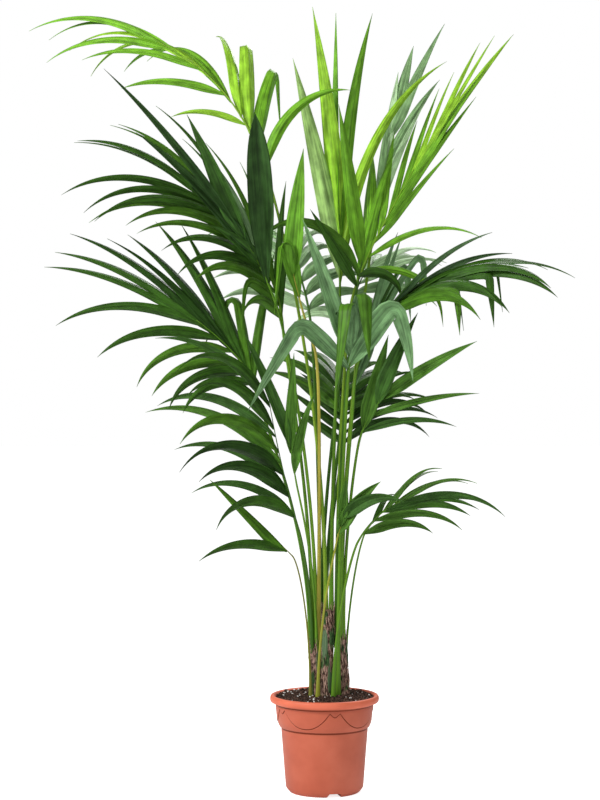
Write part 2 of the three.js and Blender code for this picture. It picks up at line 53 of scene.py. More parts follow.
# %% Camera
camera_data = bpy.data.cameras.new("camera")
camera_data.sensor_fit = "HORIZONTAL"
camera_data.sensor_width = 36
camera_data.lens = 111.72
camera = bpy.data.objects.new("camera", camera_data)
camera.location = (-0.054, -4.1, 0.86)
camera.rotation_euler = (math.radians(90), 0, 0)
bpy.context.scene.collection.objects.link(camera)
bpy.context.scene.camera = camera
print("lens", camera_data.lens)

# %% [markdown]
# ## Floor and light
# A pale floor runs out to a pale world, so that the plant stands on a plain studio white. Floor
# and world are white to look at, and light the plant with only a part of that, which keeps the
# leaves' darks. A broad lamp above the camera lights the fronts of the leaves, one from the left
# gives the waxy blades their sheen, and a third behind and above lights the top leaves from their
# far side.

# %% Floor and light
WHITE = (1, 1, 1, 1)


def plain_material(name, colour, roughness):
    material = bpy.data.materials.new(name)
    material.use_nodes = True
    shader = material.node_tree.nodes["Principled BSDF"]
    shader.inputs["Base Color"].default_value = (*colour, 1)
    shader.inputs["Roughness"].default_value = roughness
    return material


def seen_or_lighting(tree, socket, seen, lighting):
    """Gives a socket one value for what is looked at and another for the light it sheds."""
    rays = tree.nodes.new("ShaderNodeLightPath")
    level = tree.nodes.new("ShaderNodeMapRange")
    level.inputs["To Min"].default_value = lighting
    level.inputs["To Max"].default_value = seen
    tree.links.new(rays.outputs["Is Camera Ray"], level.inputs["Value"])
    tree.links.new(level.outputs["Result"], socket)


floor_mesh = bpy.data.meshes.new("floor")
REACH = 30
corners = [(-REACH, -REACH, 0), (REACH, -REACH, 0), (REACH, REACH, 0), (-REACH, REACH, 0)]
floor_mesh.from_pydata(corners, [], [(0, 1, 2, 3)])
floor = bpy.data.objects.new("floor", floor_mesh)
floor_white = plain_material("floor_white", (0.9, 0.9, 0.9), 0.9)
floor_shader = floor_white.node_tree.nodes["Principled BSDF"]
floor_shader.inputs["Emission Color"].default_value = WHITE
seen_or_lighting(floor_white.node_tree, floor_shader.inputs["Emission Strength"], seen=0.8, lighting=0.1)
floor_mesh.materials.append(floor_white)
bpy.context.scene.collection.objects.link(floor)


def lamp(name, place, aim, size, power):
    data = bpy.data.lights.new(name, "AREA")
    data.shape = "DISK"
    data.size = size
    data.energy = power
    obj = bpy.data.objects.new(name, data)
    obj.location = place
    obj.rotation_euler = (Vector(aim) - Vector(place)).to_track_quat("-Z", "Y").to_euler()
    bpy.context.scene.collection.objects.link(obj)


lamp("front_lamp", place=(0.6, -3.6, 3.4), aim=(0, 0, 0.9), size=2.2, power=55)
lamp("left_lamp", place=(-2.8, -1.8, 2.6), aim=(0, 0, 1.0), size=0.9, power=110)
lamp("back_lamp", place=(0.8, 2.6, 3.2), aim=(0, 0, 1.3), size=1.8, power=60)

world = bpy.data.worlds.new("studio")
bpy.context.scene.world = world
world.use_nodes = True
sky = world.node_tree.nodes["Background"]
sky.inputs["Color"].default_value = WHITE
seen_or_lighting(world.node_tree, sky.inputs["Strength"], seen=1.0, lighting=0.32)
bpy.context.scene.view_settings.view_transform = "Standard"
print("view transform:", bpy.context.scene.view_settings.view_transform)

# %% [markdown]
# ## Finishes
# Every finish is one principled shader whose colour and bump come from a few procedural nodes.
# A helper keeps that short: it adds nodes by name and joins them, so that each finish reads as
# the few things that make it.

# %% Node helper
class Finish:
    """A material whose nodes are added and joined one line at a time."""

    def __init__(self, name, roughness, specular=0.5):
        self.material = bpy.data.materials.new(name)
        self.material.use_nodes = True
        self.nodes = self.material.node_tree.nodes
        self.shader = self.nodes["Principled BSDF"]
        self.shader.inputs["Roughness"].default_value = roughness
        self.shader.inputs["Specular IOR Level"].default_value = specular

    def add(self, kind, links=None, **settings):
        node = self.nodes.new(kind)
        for key, value in settings.items():
            setattr(node, key, value)
        for socket, source in (links or {}).items():
            if hasattr(source, "is_output"):
                self.material.node_tree.links.new(source, node.inputs[socket])
            else:
                node.inputs[socket].default_value = source
        return node

    def stretched(self, space, scale):
        where = self.add("ShaderNodeTexCoord").outputs[space]
        return self.add("ShaderNodeMapping", {"Vector": where, "Scale": scale}).outputs[0]

    def noise(self, vector, scale, detail=3, rough=0.5):
        return self.add("ShaderNodeTexNoise", {
            "Vector": vector, "Scale": scale, "Detail": detail, "Roughness": rough}).outputs["Fac"]

    def ramp(self, value, *stops):
        node = self.add("ShaderNodeValToRGB", {"Fac": value})
        elements = node.color_ramp.elements
        while len(elements) < len(stops):
            elements.new(0.5)
        for element, (place, colour) in zip(elements, stops):
            element.position = place
            element.color = (*colour, 1)
        return node.outputs["Color"]

    def sum(self, first, second):
        return self.add("ShaderNodeMath", {0: first, 1: second}, operation="ADD").outputs[0]

    def colour(self, source):
        self.material.node_tree.links.new(source, self.shader.inputs["Base Color"])
        return self

    def bump(self, height, strength, distance):
        node = self.add(
            "ShaderNodeBump", {"Height": height, "Strength": strength, "Distance": distance})
        self.material.node_tree.links.new(node.outputs[0], self.shader.inputs["Normal"])
        return self


def shade(colour, amount):
    return tuple(min(1, channel * amount) for channel in colour)


# %% [markdown]
# ## Leaf finish
# A kentia leaflet is a long blade with fine parallel veins and a raised midrib, satin on top and
# paler and duller beneath. Its veins run from root to tip, so they are drawn across the blade's
# own width, which the leaflet's UV map carries as u, and they bend with the blade. Some leaflets
# that hang over get a much paler back, partly the real pale underside and partly painted light.

# %% Leaf finish
def leaf_finish(name, colour, roughness=0.4):
    finish = Finish(name, roughness, specular=0.13)
    pleats = finish.noise(finish.stretched("UV", (7.5, 0.3, 1)), 1.0, detail=1)
    veins = finish.noise(finish.stretched("UV", (46, 0.8, 1)), 1.0, detail=2)
    patches = finish.noise(finish.stretched("UV", (1.2, 1, 1)), 1.6, detail=2)
    lines = finish.sum(pleats, veins)
    tone = finish.sum(lines, patches)
    share = finish.add("ShaderNodeMath", {0: tone, 1: 3.0}, operation="DIVIDE").outputs[0]
    dark, light = shade(colour, 0.55), shade(colour, 1.5)
    finish.colour(finish.ramp(share, (0.41, dark), (0.5, colour), (0.59, light)))
    finish.bump(lines, 0.5, 0.0015)
    return finish.material


def beneath(colour):
    """The underside of a leaf: a little lighter and greyer."""
    red, green, blue = colour
    return (red * 0.95 + 0.008, green * 0.95 + 0.014, blue + 0.008)


# A pale back colour, partly the underside's own and partly painted light.
PALE_BACK_AND_PAINTED_LIGHT = (0.175, 0.330, 0.140)
# Light tones go to the high fronds and dark ones to the low, partly because young leaves are paler and
# partly as painted light and painted shade.
LEAF_COLOURS = {
    "lime": (0.255, 0.500, 0.032),
    "bright": (0.150, 0.370, 0.022),
    "fresh": (0.110, 0.280, 0.016),
    "mid": (0.062, 0.165, 0.012),
    "dark": (0.034, 0.100, 0.009),
    "deep": (0.018, 0.056, 0.006),
    # Sage and grey are painted sheen, and pale is painted light, on blades that the lamps catch.
    "sage": (0.270, 0.440, 0.130),
    "grey": (0.200, 0.345, 0.150),
    "pale": (0.420, 0.610, 0.340),
}
leaf_tops = {kind: leaf_finish(f"leaf_{kind}", colour) for kind, colour in LEAF_COLOURS.items()}
leaf_backs = {
    kind: leaf_finish(f"leaf_{kind}_under", beneath(colour), roughness=0.55)
    for kind, colour in LEAF_COLOURS.items()
}
# These backs are much paler than the others: partly the leaf's paler underside, partly painted light.
for kind in ("mid", "dark"):
    leaf_tops[f"{kind}_silvered"] = leaf_tops[kind]
    leaf_backs[f"{kind}_silvered"] = leaf_finish(
        f"leaf_{kind}_silvered_under", PALE_BACK_AND_PAINTED_LIGHT, roughness=0.5)
print("leaf finishes:", len(leaf_tops) + len(leaf_backs))

# %% [markdown]
# ## Stalk, sheath, soil and pot finishes
# Stalks are smooth and waxy with faint lengthwise streaks. The trunk's sheaths are dry fibre, from
# nearly black to a pale pinkish brown, with green where one is still alive. The compost is nearly
# black with brown crumbs and white perlite grains. The pot is moulded plastic with a fine grained
# skin; its rim is painted paler, as painted light, and its grooves darker, as painted shade.

# %% Stalk, sheath, soil and pot finishes
def stalk_finish(name, low, high):
    finish = Finish(name, 0.42, specular=0.2)
    streaks = finish.noise(finish.stretched("UV", (14, 3, 1)), 1.0, detail=3)
    finish.colour(finish.ramp(streaks, (0.35, low), (0.65, high)))
    return finish.bump(streaks, 0.2, 0.0008).material


STALKS = {
    "deep": stalk_finish("stalk_deep", (0.022, 0.080, 0.006), (0.070, 0.175, 0.014)),
    "green": stalk_finish("stalk_green", (0.055, 0.165, 0.008), (0.150, 0.310, 0.020)),
    "light": stalk_finish("stalk_light", (0.120, 0.270, 0.014), (0.270, 0.430, 0.036)),
    "sallow": stalk_finish("stalk_sallow", (0.190, 0.215, 0.018), (0.360, 0.370, 0.045)),
    "olive": stalk_finish("stalk_olive", (0.110, 0.125, 0.014), (0.230, 0.230, 0.040)),
    "yellow": stalk_finish("stalk_yellow", (0.300, 0.290, 0.030), (0.560, 0.480, 0.090)),
}

fibre = Finish("sheath_fibre", 0.85, specular=0.25)
strands = fibre.noise(fibre.stretched("Object", (400, 400, 75)), 1.0, detail=4, rough=0.65)
dry = fibre.ramp(
    strands, (0.40, (0.016, 0.008, 0.005)), (0.48, (0.11, 0.052, 0.036)), (0.57, (0.62, 0.40, 0.31)))
green = fibre.ramp(strands, (0.38, (0.012, 0.035, 0.010)), (0.62, (0.090, 0.200, 0.060)))
living = fibre.noise(fibre.stretched("Object", (52, 52, 17)), 1.0, detail=2)
where = fibre.add("ShaderNodeMapRange", {"Value": living, "From Min": 0.56, "From Max": 0.62})
# A mix node of colours has its share at socket 0, its colours at 6 and 7 and the result at 2.
mixed = fibre.add("ShaderNodeMix", {0: where.outputs["Result"], 6: dry, 7: green}, data_type="RGBA")
fibre.colour(mixed.outputs[2])
fibre.bump(strands, 0.8, 0.004)

earth = Finish("compost", 0.95, specular=0.2)
grains = earth.noise(earth.stretched("Object", (1, 1, 1)), 260, detail=4, rough=0.6)
earth.colour(earth.ramp(
    grains, (0.38, (0.010, 0.006, 0.004)), (0.50, (0.042, 0.022, 0.015)), (0.62, (0.17, 0.095, 0.068))))
earth.bump(grains, 0.9, 0.003)

perlite = plain_material("perlite", (0.80, 0.78, 0.74), 0.8)


def terracotta_finish(name, depth, specular=0.4):
    """The pot's plastic, made darker or lighter by a factor, for painted shade and painted light."""
    finish = Finish(name, 0.5, specular)
    skin = finish.noise(finish.stretched("Object", (1, 1, 1)), 900, detail=2)
    cloud = finish.noise(finish.stretched("Object", (1, 1, 1)), 16, detail=3)
    low, middle, high = (0.470, 0.096, 0.046), (0.520, 0.112, 0.056), (0.560, 0.130, 0.068)
    finish.colour(finish.ramp(
        cloud, (0.30, shade(low, depth)), (0.50, shade(middle, depth)), (0.70, shade(high, depth))))
    return finish.bump(skin, 0.12, 0.0006).material


terracotta = terracotta_finish("terracotta_plastic", 1.0)
# The grooves' finish is the same plastic made darker, as painted shade.
terracotta_painted_shade = terracotta_finish("terracotta_in_painted_shade", 0.42, specular=0.1)
# The rim's finish is the same plastic made lighter, as painted light.
terracotta_rim_painted_light = terracotta_finish("terracotta_rim_painted_light", 1.4)

sheath = Finish("green_sheath", 0.6, specular=0.2)
ribs = sheath.noise(sheath.stretched("UV", (9, 0.8, 1)), 1.0, detail=3)
sheath.colour(sheath.ramp(ribs, (0.38, (0.040, 0.090, 0.035)), (0.62, (0.150, 0.230, 0.120))))
sheath.bump(ribs, 0.5, 0.002)
print("finishes:", len(bpy.data.materials))

# %% [markdown]
# ## Meshes from arrays
# The plant is made of many long forms: tubes for stalks and ribs, blades for leaflets, strands on
# the trunks. Each is a grid of points, so one small collector stacks such grids, keeps which
# finish each has, and turns them all into one smooth mesh. That is far quicker than joining
# hundreds of objects, and each kind stays one piece.

# %% Mesh collector
class Heap:
    """Grids of points, in millimetres, that become one mesh."""

    def __init__(self):
        self.points, self.faces, self.marks, self.uvs = [], [], [], []
        self.count = 0

    def take(self, points, faces, mark=0, uvs=None):
        points = np.asarray(points, float).reshape(-1, 3)
        self.points.append(points)
        self.faces += [tuple(int(i) + self.count for i in face) for face in faces]
        self.marks += [mark] * len(faces)
        uvs = np.zeros((len(points), 2)) if uvs is None else np.asarray(uvs)
        self.uvs.append(uvs.reshape(-1, 2))
        self.count += len(points)

    def make(self, name, materials, slot, *nodes, smooth=True):
        mesh = bpy.data.meshes.new(name)
        mesh.from_pydata((np.concatenate(self.points) * MM).tolist(), [], self.faces)
        mesh.polygons.foreach_set("material_index", self.marks)
        mesh.polygons.foreach_set("use_smooth", [smooth] * len(mesh.polygons))
        corners = np.zeros(len(mesh.loops), int)
        mesh.loops.foreach_get("vertex_index", corners)
        layer = mesh.uv_layers.new(name="UVMap")
        layer.data.foreach_set("uv", np.concatenate(self.uvs)[corners].ravel())
        for material in materials:
            mesh.materials.append(material)
        mesh.update()
        piece = bpy.data.objects.new(name, mesh)
        bpy.context.scene.collection.objects.link(piece)
        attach(piece, "root")
        if nodes:
            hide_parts(*nodes)
        return piece


def grid_faces(rows, columns, wrap=False):
    """The four-sided faces of a grid of points; wrap joins the last column to the first."""
    faces = []
    for row in range(rows - 1):
        for k in range(columns if wrap else columns - 1):
            a, b = row * columns + k, row * columns + (k + 1) % columns
            faces.append((a, b, b + columns, a + columns))
    return faces


def end_faces(rows, columns):
    """The two faces that close a wrapped grid at its first and last row."""
    return [tuple(range(columns))[::-1], tuple(range((rows - 1) * columns, rows * columns))]


def tube(heap, centres, sides, faces_up, widths, depths, sides_count, uv_start=0.0):
    """A closed tube through centres, with its own width and depth at each."""
    turns = np.linspace(0, 2 * math.pi, sides_count, endpoint=False)
    ring = (np.cos(turns)[None, :, None] * sides[:, None, :] * np.asarray(widths)[:, None, None]
            + np.sin(turns)[None, :, None] * faces_up[:, None, :] * np.asarray(depths)[:, None, None])
    points = centres[:, None, :] + ring
    rows = len(centres)
    uvs = np.stack(np.meshgrid(np.linspace(0, 1, rows), np.abs(np.linspace(-1, 1, sides_count)),
                               indexing="ij")[::-1], axis=-1) + [uv_start, 0]
    faces = grid_faces(rows, sides_count, wrap=True) + end_faces(rows, sides_count)
    heap.take(points, faces, uvs=uvs)


# %% [markdown]
# ## How the palm grows
# Each frond leaves its plant of the clump at a heading, climbs on a bare stalk to the collar, and
# then arches over a crest to its tip along the rib. The same few sizes that made the solids are
# given again here, so that the fine leaves grow where the solid ones stand.

# %% Plants of the clump
GAP = 0.3
UP = np.array([0.0, 0.0, 1.0])
SOIL_TOP = 206
PLANTS = {
    "left": dict(x=-22, y=10, height=108, foot=11, top=13, ring=9.5, lean=(-2, 2)),
    "middle": dict(x=8, y=-4, height=190, foot=13, top=13, ring=8, lean=(3, 0)),
    "right": dict(x=33, y=8, height=130, foot=12, top=13, ring=8.5, lean=(-11, 2)),
    "back": dict(x=-4, y=48, height=120, foot=14, top=12, ring=6.5, lean=(0, 4)),
    "front": dict(x=-15, y=-38, height=0, ring=0),
    "side": dict(x=19, y=-32, height=0, ring=0),
    "far_side": dict(x=46, y=32, height=0, ring=0),
    "edge": dict(x=-31, y=-24, height=0, ring=0),
    "close": dict(x=29, y=-15, height=0, ring=0),
}

# %% Fronds
# Collar, crest and tip are [reach from the plant's axis, height, distance aside]. Angles are in
# degrees. A list of values is spread evenly from the foot of the rib to its tip.
def row(count, width, length, fan, droop, lift=5, folded=(), start=0, blunt=()):
    """The leaflets of one side. Folded and blunt ones are given by number from the foot."""
    return dict(count=count, width=width, length=length, fan=fan, droop=droop, lift=lift,
                folded=folded, start=start, blunt=blunt)


FRONDS = [
    dict(name="upright", plant="middle", heading=105, seat=30, roll=0, seed=2, crease=90,
         collar=[62, 1080, -45], crest=[68, 1180, -47], tip=[74, 1276, -48],
         left=row(2, [56, 36], [550, 490], [18, -1], droop=4, lift=[0, 0]),
         right=row(3, [30, 34, 32], [660, 605, 470], [4, 5, 5, 6, 7, 8, 8], droop=[70, 24, 0],
                   lift=[30, 30, 20, 15, -30, -80, -80])),
    dict(name="near_fall", plant="close", heading=275, seat=0, roll=0, seed=338,
         crease=[88, 88, 134, 146, 159, 129, 129], collar=[27, 910, 20], crest=[42, 957, 22],
         tip=[62, 985, 24],
         left=row(2, [46, 50], [345, 280], [30, 0], droop=[40, 10], lift=10, folded=[0, 1]),
         right=row(3, [46, 36, 54], [385, 320, 300], [64, 19, 15], droop=[5, 5, 10], lift=10,
                   folded=[0, 2])),
    dict(name="centre", plant="right", heading=18, seat=216, roll=90, seed=22, crease=90,
         collar=[26, 1095, -38], crest=[32, 1130, -38], tip=[40, 1165, -38],
         left=row(3, [30, 24, 46], [140, 300, 420], [50, 32, 10], droop=[5, 5, 60, 130, 30, 3, 3],
                  lift=0),
         right=row(1, 26, 120, 60, droop=120, lift=0)),
    dict(name="top_left", plant="middle", heading=162, seat=130, roll=-60, seed=1, crease=150,
         fold_at=0.64, collar=[135, 1340, 0], crest=[205, 1575, 0], tip=[405, 1672, 0],
         left=row(4, [16, 20], [150, 180, 280, 350], [42, 38, 20, 6], droop=[40, 50, 60], start=0.2),
         right=row(10, [20, 42, 34, 28, 24, 20], [245, 400, 330, 360, 365, 380], [26, 29, 24, 10, 6, 4],
                   droop=[95, 30, 80, 100, 70, 60], lift=[5, -10, 5], folded=[1, 2])),
    dict(name="top_right", plant="right", heading=35, seat=144, roll=10, seed=3, crease=70,
         collar=[18, 1080, -21], crest=[56, 1180, -6], tip=[263, 1465, -6],
         left=row(8, [34, 30, 22, 18], [400, 330, 310, 340], [14, 20, 16, 5], droop=[6, 30, 10, 5],
                  lift=[60, 15, 5], start=0.1),
         right=row(8, [14, 18, 24, 18], [210, 260, 370, 350], [70, 60, 60, 12, 8, 12, 12, 8],
                   droop=[110, 110, 110, 12, 5, 5, 5, 5], lift=[-20, 5, 10], start=0.2)),
    dict(name="high_back", plant="right", heading=68, seat=72, roll=0, seed=4, crease=80,
         collar=[177, 1230, -13], crest=[219, 1355, -9], tip=[322, 1515, -4],
         left=row(3, [24, 40], [300, 340, 340], [12, 0, 0], droop=10),
         right=row(3, [22, 36], [320, 370], [14, 14], droop=15)),
    dict(name="left_dark", plant="left", heading=205, seat=114, roll=-62, seed=5, crease=70,
         collar=[75, 1015, -3], crest=[85, 1185, -3], tip=[275, 1300, -3],
         left=row(11, [26, 22, 18], [200, 290, 380, 340], [45, 26, 14], droop=[100, 60, 60],
                  folded=[1]),
         right=row(11, [26, 28, 22, 18], [260, 340, 360, 330], [10, 22, 12], droop=[20, 35, 55])),
    dict(name="front_left", plant="left", heading=215, seat=56, roll=45, seed=6, crease=110,
         collar=[120, 1060, 29], crest=[161, 1160, 29], tip=[245, 1245, 39],
         left=row(2, [66, 36], [390, 300], [25, 6], droop=[8, 15], blunt=[0]),
         right=row(5, [30, 34, 16], [260, 120, 500], [32, 14, -6], droop=[30, 20, 12], start=0.2)),
    dict(name="front_mid", plant="left", heading=266, seat=354, roll=0, seed=7, crease=150,
         collar=[64, 975, 3], crest=[104, 1080, -31], tip=[142, 1175, -45],
         left=row(1, 48, 290, 16, droop=6, start=0.5),
         right=row(2, [40, 30], [320, 220], [8, 20], droop=[8, 10], folded=[0], start=0.35)),
    dict(name="left_mid", plant="left", heading=188, seat=172, roll=-75, seed=8, crease=130,
         fold_at=0.56, collar=[131, 880, -1], crest=[141, 945, -1], tip=[261, 1035, -1],
         left=row(6, 26, [180, 250, 340], [64, 38, 8], droop=[70, 80, 50]),
         right=row(9, [24, 32, 26, 22], [300, 350, 400, 380], [24, 14, 8, 4], droop=[8, 20, 30, 40],
                   folded=[1])),
    dict(name="left_low", plant="left", heading=185, seat=238, roll=0, seed=9, crease=60,
         collar=[38, 575, 44], crest=[81, 710, 69], tip=[111, 880, 94],
         left=row(6, [30, 34, 24], [210, 320, 300], [34, 26, 20], droop=[90, 95, 80],
                  lift=[-65, -60, -35]),
         right=row(5, [20, 26, 20], [220, 320, 300], [34, 28, 22], droop=[80, 70, 60],
                   lift=[-65, -60, -35])),
    dict(name="front_low", plant="left", heading=225, seat=296, roll=45, seed=21, crease=60,
         collar=[97, 680, 41], crest=[107, 720, 41], tip=[119, 770, 41],
         left=row(2, [30, 24], [180, 230], [24, 8], droop=[20, 5]),
         right=row(3, [30, 34, 26], [260, 340, 260], [35, 5, 18], droop=[80, 5, 10])),
    dict(name="bifid", plant="edge", heading=195, seat=0, roll=-50, seed=10, crease=0,
         collar=[41, 520, -3], crest=[51, 530, -3], tip=[61, 540, -3],
         left=row(1, 24, 240, 30, droop=45, lift=0),
         right=row(1, 40, 235, 10, droop=8, lift=0)),
    dict(name="yellow", plant="front", heading=320, seat=0, roll=-50, seed=11, crease=0,
         collar=[50, 550, 2], crest=[60, 590, 2], tip=[80, 620, 2],
         left=row(2, [36, 30], [140, 170], [4, 24], droop=[5, 100], lift=0),
         right=row(1, 24, 110, 0, droop=10, lift=0)),
    dict(name="green_low", plant="side", heading=335, seat=0, roll=-30, seed=12, crease=70,
         collar=[53, 550, 11], crest=[93, 620, 11], tip=[173, 650, 11],
         left=row(4, [24, 22, 18], [150, 240, 240], [44, 24, 6], droop=[60, 60, 60]),
         right=row(4, [26, 22, 18], [130, 220, 240], [62, 36, 8], droop=[80, 60, 50])),
    dict(name="green_behind", plant="far_side", heading=20, seat=0, roll=30, seed=13, crease=70,
         collar=[32, 570, -44], crest=[67, 620, -44], tip=[117, 640, -44],
         left=row(3, 22, [130, 200, 210], [26, 16, 8], droop=[70, 60, 50]),
         right=row(3, 22, [150, 200, 210], [56, 34, 10], droop=[50, 60, 50])),
    dict(name="right_mid", plant="right", heading=325, seat=0, roll=-65, seed=14, crease=80,
         collar=[43, 770, 14], crest=[58, 820, 14], tip=[118, 880, 14],
         left=row(3, [16, 18, 36], [190, 240, 270], [48, 36, 2], droop=[50, 20, 6]),
         right=row(2, [42, 36], [200, 230], [6, 18], droop=5)),
    dict(name="right_behind", plant="back", heading=95, seat=320, roll=0, seed=15, crease=80,
         collar=[16, 815, -43], crest=[36, 880, -43], tip=[126, 925, -43],
         left=row(4, 26, [220, 250, 220], [35, 25, 10], droop=[40, 40, 40]),
         right=row(4, 26, [200, 240, 240], [50, 36, 6], droop=[60, 40, 30])),
    dict(name="right_high", plant="right", heading=345, seat=288, roll=30, seed=77, crease=[160, 140],
         fold_at=0.64, collar=[35, 870, -9], crest=[40, 1060, -2], tip=[245, 1135, 3],
         left=row(11, [36, 30, 24], [420, 320, 290], [28, 6, 6], droop=[10, 50, 60], lift=[-20, -10, 5],
                  folded=[2, 3, 6, 8]),
         right=row(9, 30, [250, 290, 290], [60, 45, 6], droop=[90, 80, 60], folded=[3, 6], start=0.4)),
    dict(name="back_low", plant="back", heading=80, seat=50, roll=0, seed=16, crease=60,
         collar=[62, 745, -35], crest=[87, 830, -35], tip=[172, 895, -35],
         left=row(6, 22, [170, 180, 150], [50, 45, 15], droop=[5, 10, 20]),
         right=row(7, 20, [220, 240, 190], [46, 45, 15], droop=[90, 60, 40])),
    dict(name="back_left", plant="back", heading=118, seat=140, roll=0, seed=19, crease=70,
         collar=[55, 1040, 1], crest=[100, 1190, 1], tip=[245, 1260, 1],
         left=row(8, 28, [200, 250, 240], [55, 35, 12], droop=[70, 60, 50]),
         right=row(8, 28, [200, 250, 240], [55, 35, 12], droop=[70, 60, 50])),
    dict(name="back_right", plant="back", heading=62, seat=230, roll=0, seed=20, crease=70,
         collar=[65, 1015, -29], crest=[105, 1130, -24], tip=[255, 1190, -9],
         left=row(8, 28, [200, 250, 240], [55, 35, 12], droop=[70, 60, 50]),
         right=row(8, 28, [200, 250, 240], [55, 35, 12], droop=[70, 60, 50])),
]

# %% [markdown]
# ### Random numbers and values along a blade
# Leaflets differ a little from one another. The numbers are drawn by a rule from each frond's own
# seed, so that the same frond grows each time.

# %% Dice and values along a blade
class Dice:
    """Numbers from a multiplying generator, the same for the same seed."""

    MULTIPLIER, MODULUS = 16807, 2147483647

    def __init__(self, seed):
        self.state = seed * 7919 + 13

    def next(self):
        self.state = (self.state * self.MULTIPLIER) % self.MODULUS
        return self.state / self.MODULUS

    def spread(self):
        return self.next() * 2 - 1


def along(values, share):
    """One number, or several that are spaced evenly from foot to tip."""
    if not isinstance(values, (list, tuple)):
        return values
    place = min(share, 0.9999) * (len(values) - 1)
    first = int(place)
    return values[first] + (values[first + 1] - values[first]) * (place - first)


def unit(vector):
    return vector / np.linalg.norm(vector)


# %% [markdown]
# ### Stalk and rib lines
# A stalk is a cubic curve that leaves the soil or the trunk's top upright and arrives at the
# collar in line with the rib. How far it holds each of these directions is a share of the distance
# between its ends. The rib is a quadratic curve that bends towards the crest.

# %% Stalk and rib lines
UPRIGHT, STRAIGHT = 0.5, 0.08


def bezier(points, shares):
    """Points and directions of a Bezier curve of any degree."""
    points = np.array(points, float)
    degree = len(points) - 1
    shares = np.asarray(shares, float)
    basis = lambda n, k: math.comb(n, k) * shares ** k * (1 - shares) ** (n - k)
    at = sum(basis(degree, k)[..., None] * points[k] for k in range(degree + 1))
    pace = sum(basis(degree - 1, k)[..., None] * (points[k + 1] - points[k]) for k in range(degree))
    return at, pace / np.linalg.norm(pace, axis=-1, keepdims=True)


def evenly(points, count):
    """Points at even distances along a Bezier curve."""
    fine_shares = np.linspace(0, 1, 201)
    fine, _ = bezier(points, fine_shares)
    lengths = np.concatenate([[0], np.cumsum(np.linalg.norm(np.diff(fine, axis=0), axis=1))])
    shares = np.interp(np.linspace(0, lengths[-1], count + 1), lengths, fine_shares)
    return bezier(points, shares)[0]


def lay_out(frond):
    plant = PLANTS[frond["plant"]]
    turn = math.radians(frond["heading"])
    outward = np.array([math.cos(turn), math.sin(turn), 0])
    aside = np.array([-math.sin(turn), math.cos(turn), 0])
    place = lambda spot: (np.array([plant["x"], plant["y"], spot[1]])
                          + outward * spot[0] + aside * spot[2])
    seat = math.radians(frond["seat"])
    height = SOIL_TOP + GAP + (plant["height"] + GAP if plant["height"] else 0)
    foot = np.array([plant["x"] + math.cos(seat) * plant["ring"],
                     plant["y"] + math.sin(seat) * plant["ring"], height])
    collar, crest, tip = (place(frond[key]) for key in ("collar", "crest", "tip"))
    start = unit(crest - collar)
    neck = collar - start * GAP
    span = np.linalg.norm(neck - foot)
    stalk = [foot, foot + UP * span * UPRIGHT, neck - start * span * STRAIGHT, neck]
    return dict(aside=aside, stalk=stalk, rib=[collar, crest, tip])


def frames_at(curve, shares, aside, roll=0.0):
    """Places along a limb, with the direction ahead, to its side and out of its upper face."""
    at, ahead = bezier(curve, shares)
    side = aside - ahead * (ahead @ aside)[..., None]
    side = side / np.linalg.norm(side, axis=-1, keepdims=True)
    turn = math.radians(roll)
    side = side * math.cos(turn) + np.cross(ahead, side) * math.sin(turn)
    return at, ahead, side, np.cross(ahead, side)


print("fronds:", len(FRONDS))

# %% [markdown]
# ### The shape of a leaflet
# A leaflet swells from a narrow root to its full width at about a quarter of its length and then
# tapers to a long point, and a few blunt ones stay broad to the end. Its own weight bends it down
# in the upright plane that it leaves in, more towards the tip, and some old ones are folded over
# sharply. As it bends in one plane, its line is found without stepping: each direction is the
# first one turned down by all the bends before it.

# %% Leaflet line and width
STEPS = 24
FULL_WIDTH_AT, ROOT_WIDTH, TAPER_POWER, TAPER_EASE = 0.28, 0.13, 2.7, 1.1
BLUNT_FULL_WIDTH_AT, BLUNT_TAPER_POWER = 0.5, 7
FOLD_AT, FOLD_SPAN, STEEPEST, PITCH = 0.46, 0.06, 174, -22


def leaf_width(share, blunt):
    full_at = BLUNT_FULL_WIDTH_AT if blunt else FULL_WIDTH_AT
    swell = np.sin(np.minimum(1, share / full_at) * math.pi / 2)
    taper = (1 - share ** (BLUNT_TAPER_POWER if blunt else TAPER_POWER)) ** TAPER_EASE
    return (ROOT_WIDTH + (1 - ROOT_WIDTH) * swell) * taper


def leaf_line(root, ahead, face, leaf):
    level = math.hypot(ahead[0], ahead[1])
    out = np.array([ahead[0] / level, ahead[1] / level, 0])
    steep = math.degrees(math.atan2(level, ahead[2]))
    shares = (np.arange(STEPS) + 0.5) / STEPS
    in_fold = np.abs(shares - leaf["crease_at"]) < FOLD_SPAN
    bends = leaf["droop"] * (0.5 + shares) / STEPS + in_fold * leaf["crease"] / (2 * FOLD_SPAN * STEPS)
    turned = np.concatenate([[0], np.minimum(np.cumsum(bends), max(0, STEEPEST - steep))])
    angle = np.radians(steep + turned)[:, None]
    ahead_at = np.cos(angle) * UP + np.sin(angle) * out
    walked = np.concatenate([np.zeros((1, 3)), np.cumsum(ahead_at[1:], axis=0)])
    at = root + walked * leaf["length"] / STEPS
    twist = np.radians(leaf["twist"] * np.arange(STEPS + 1) / STEPS)[:, None]
    normal = np.cos(twist) * face + np.sin(twist) * np.cross(ahead, face)
    axis = np.cross(UP, out)
    turn = np.radians(turned)[:, None]
    normal = (normal * np.cos(turn) + np.cross(axis, normal) * np.sin(turn)
              + (normal @ axis)[:, None] * axis * (1 - np.cos(turn)))
    return at, ahead_at, normal


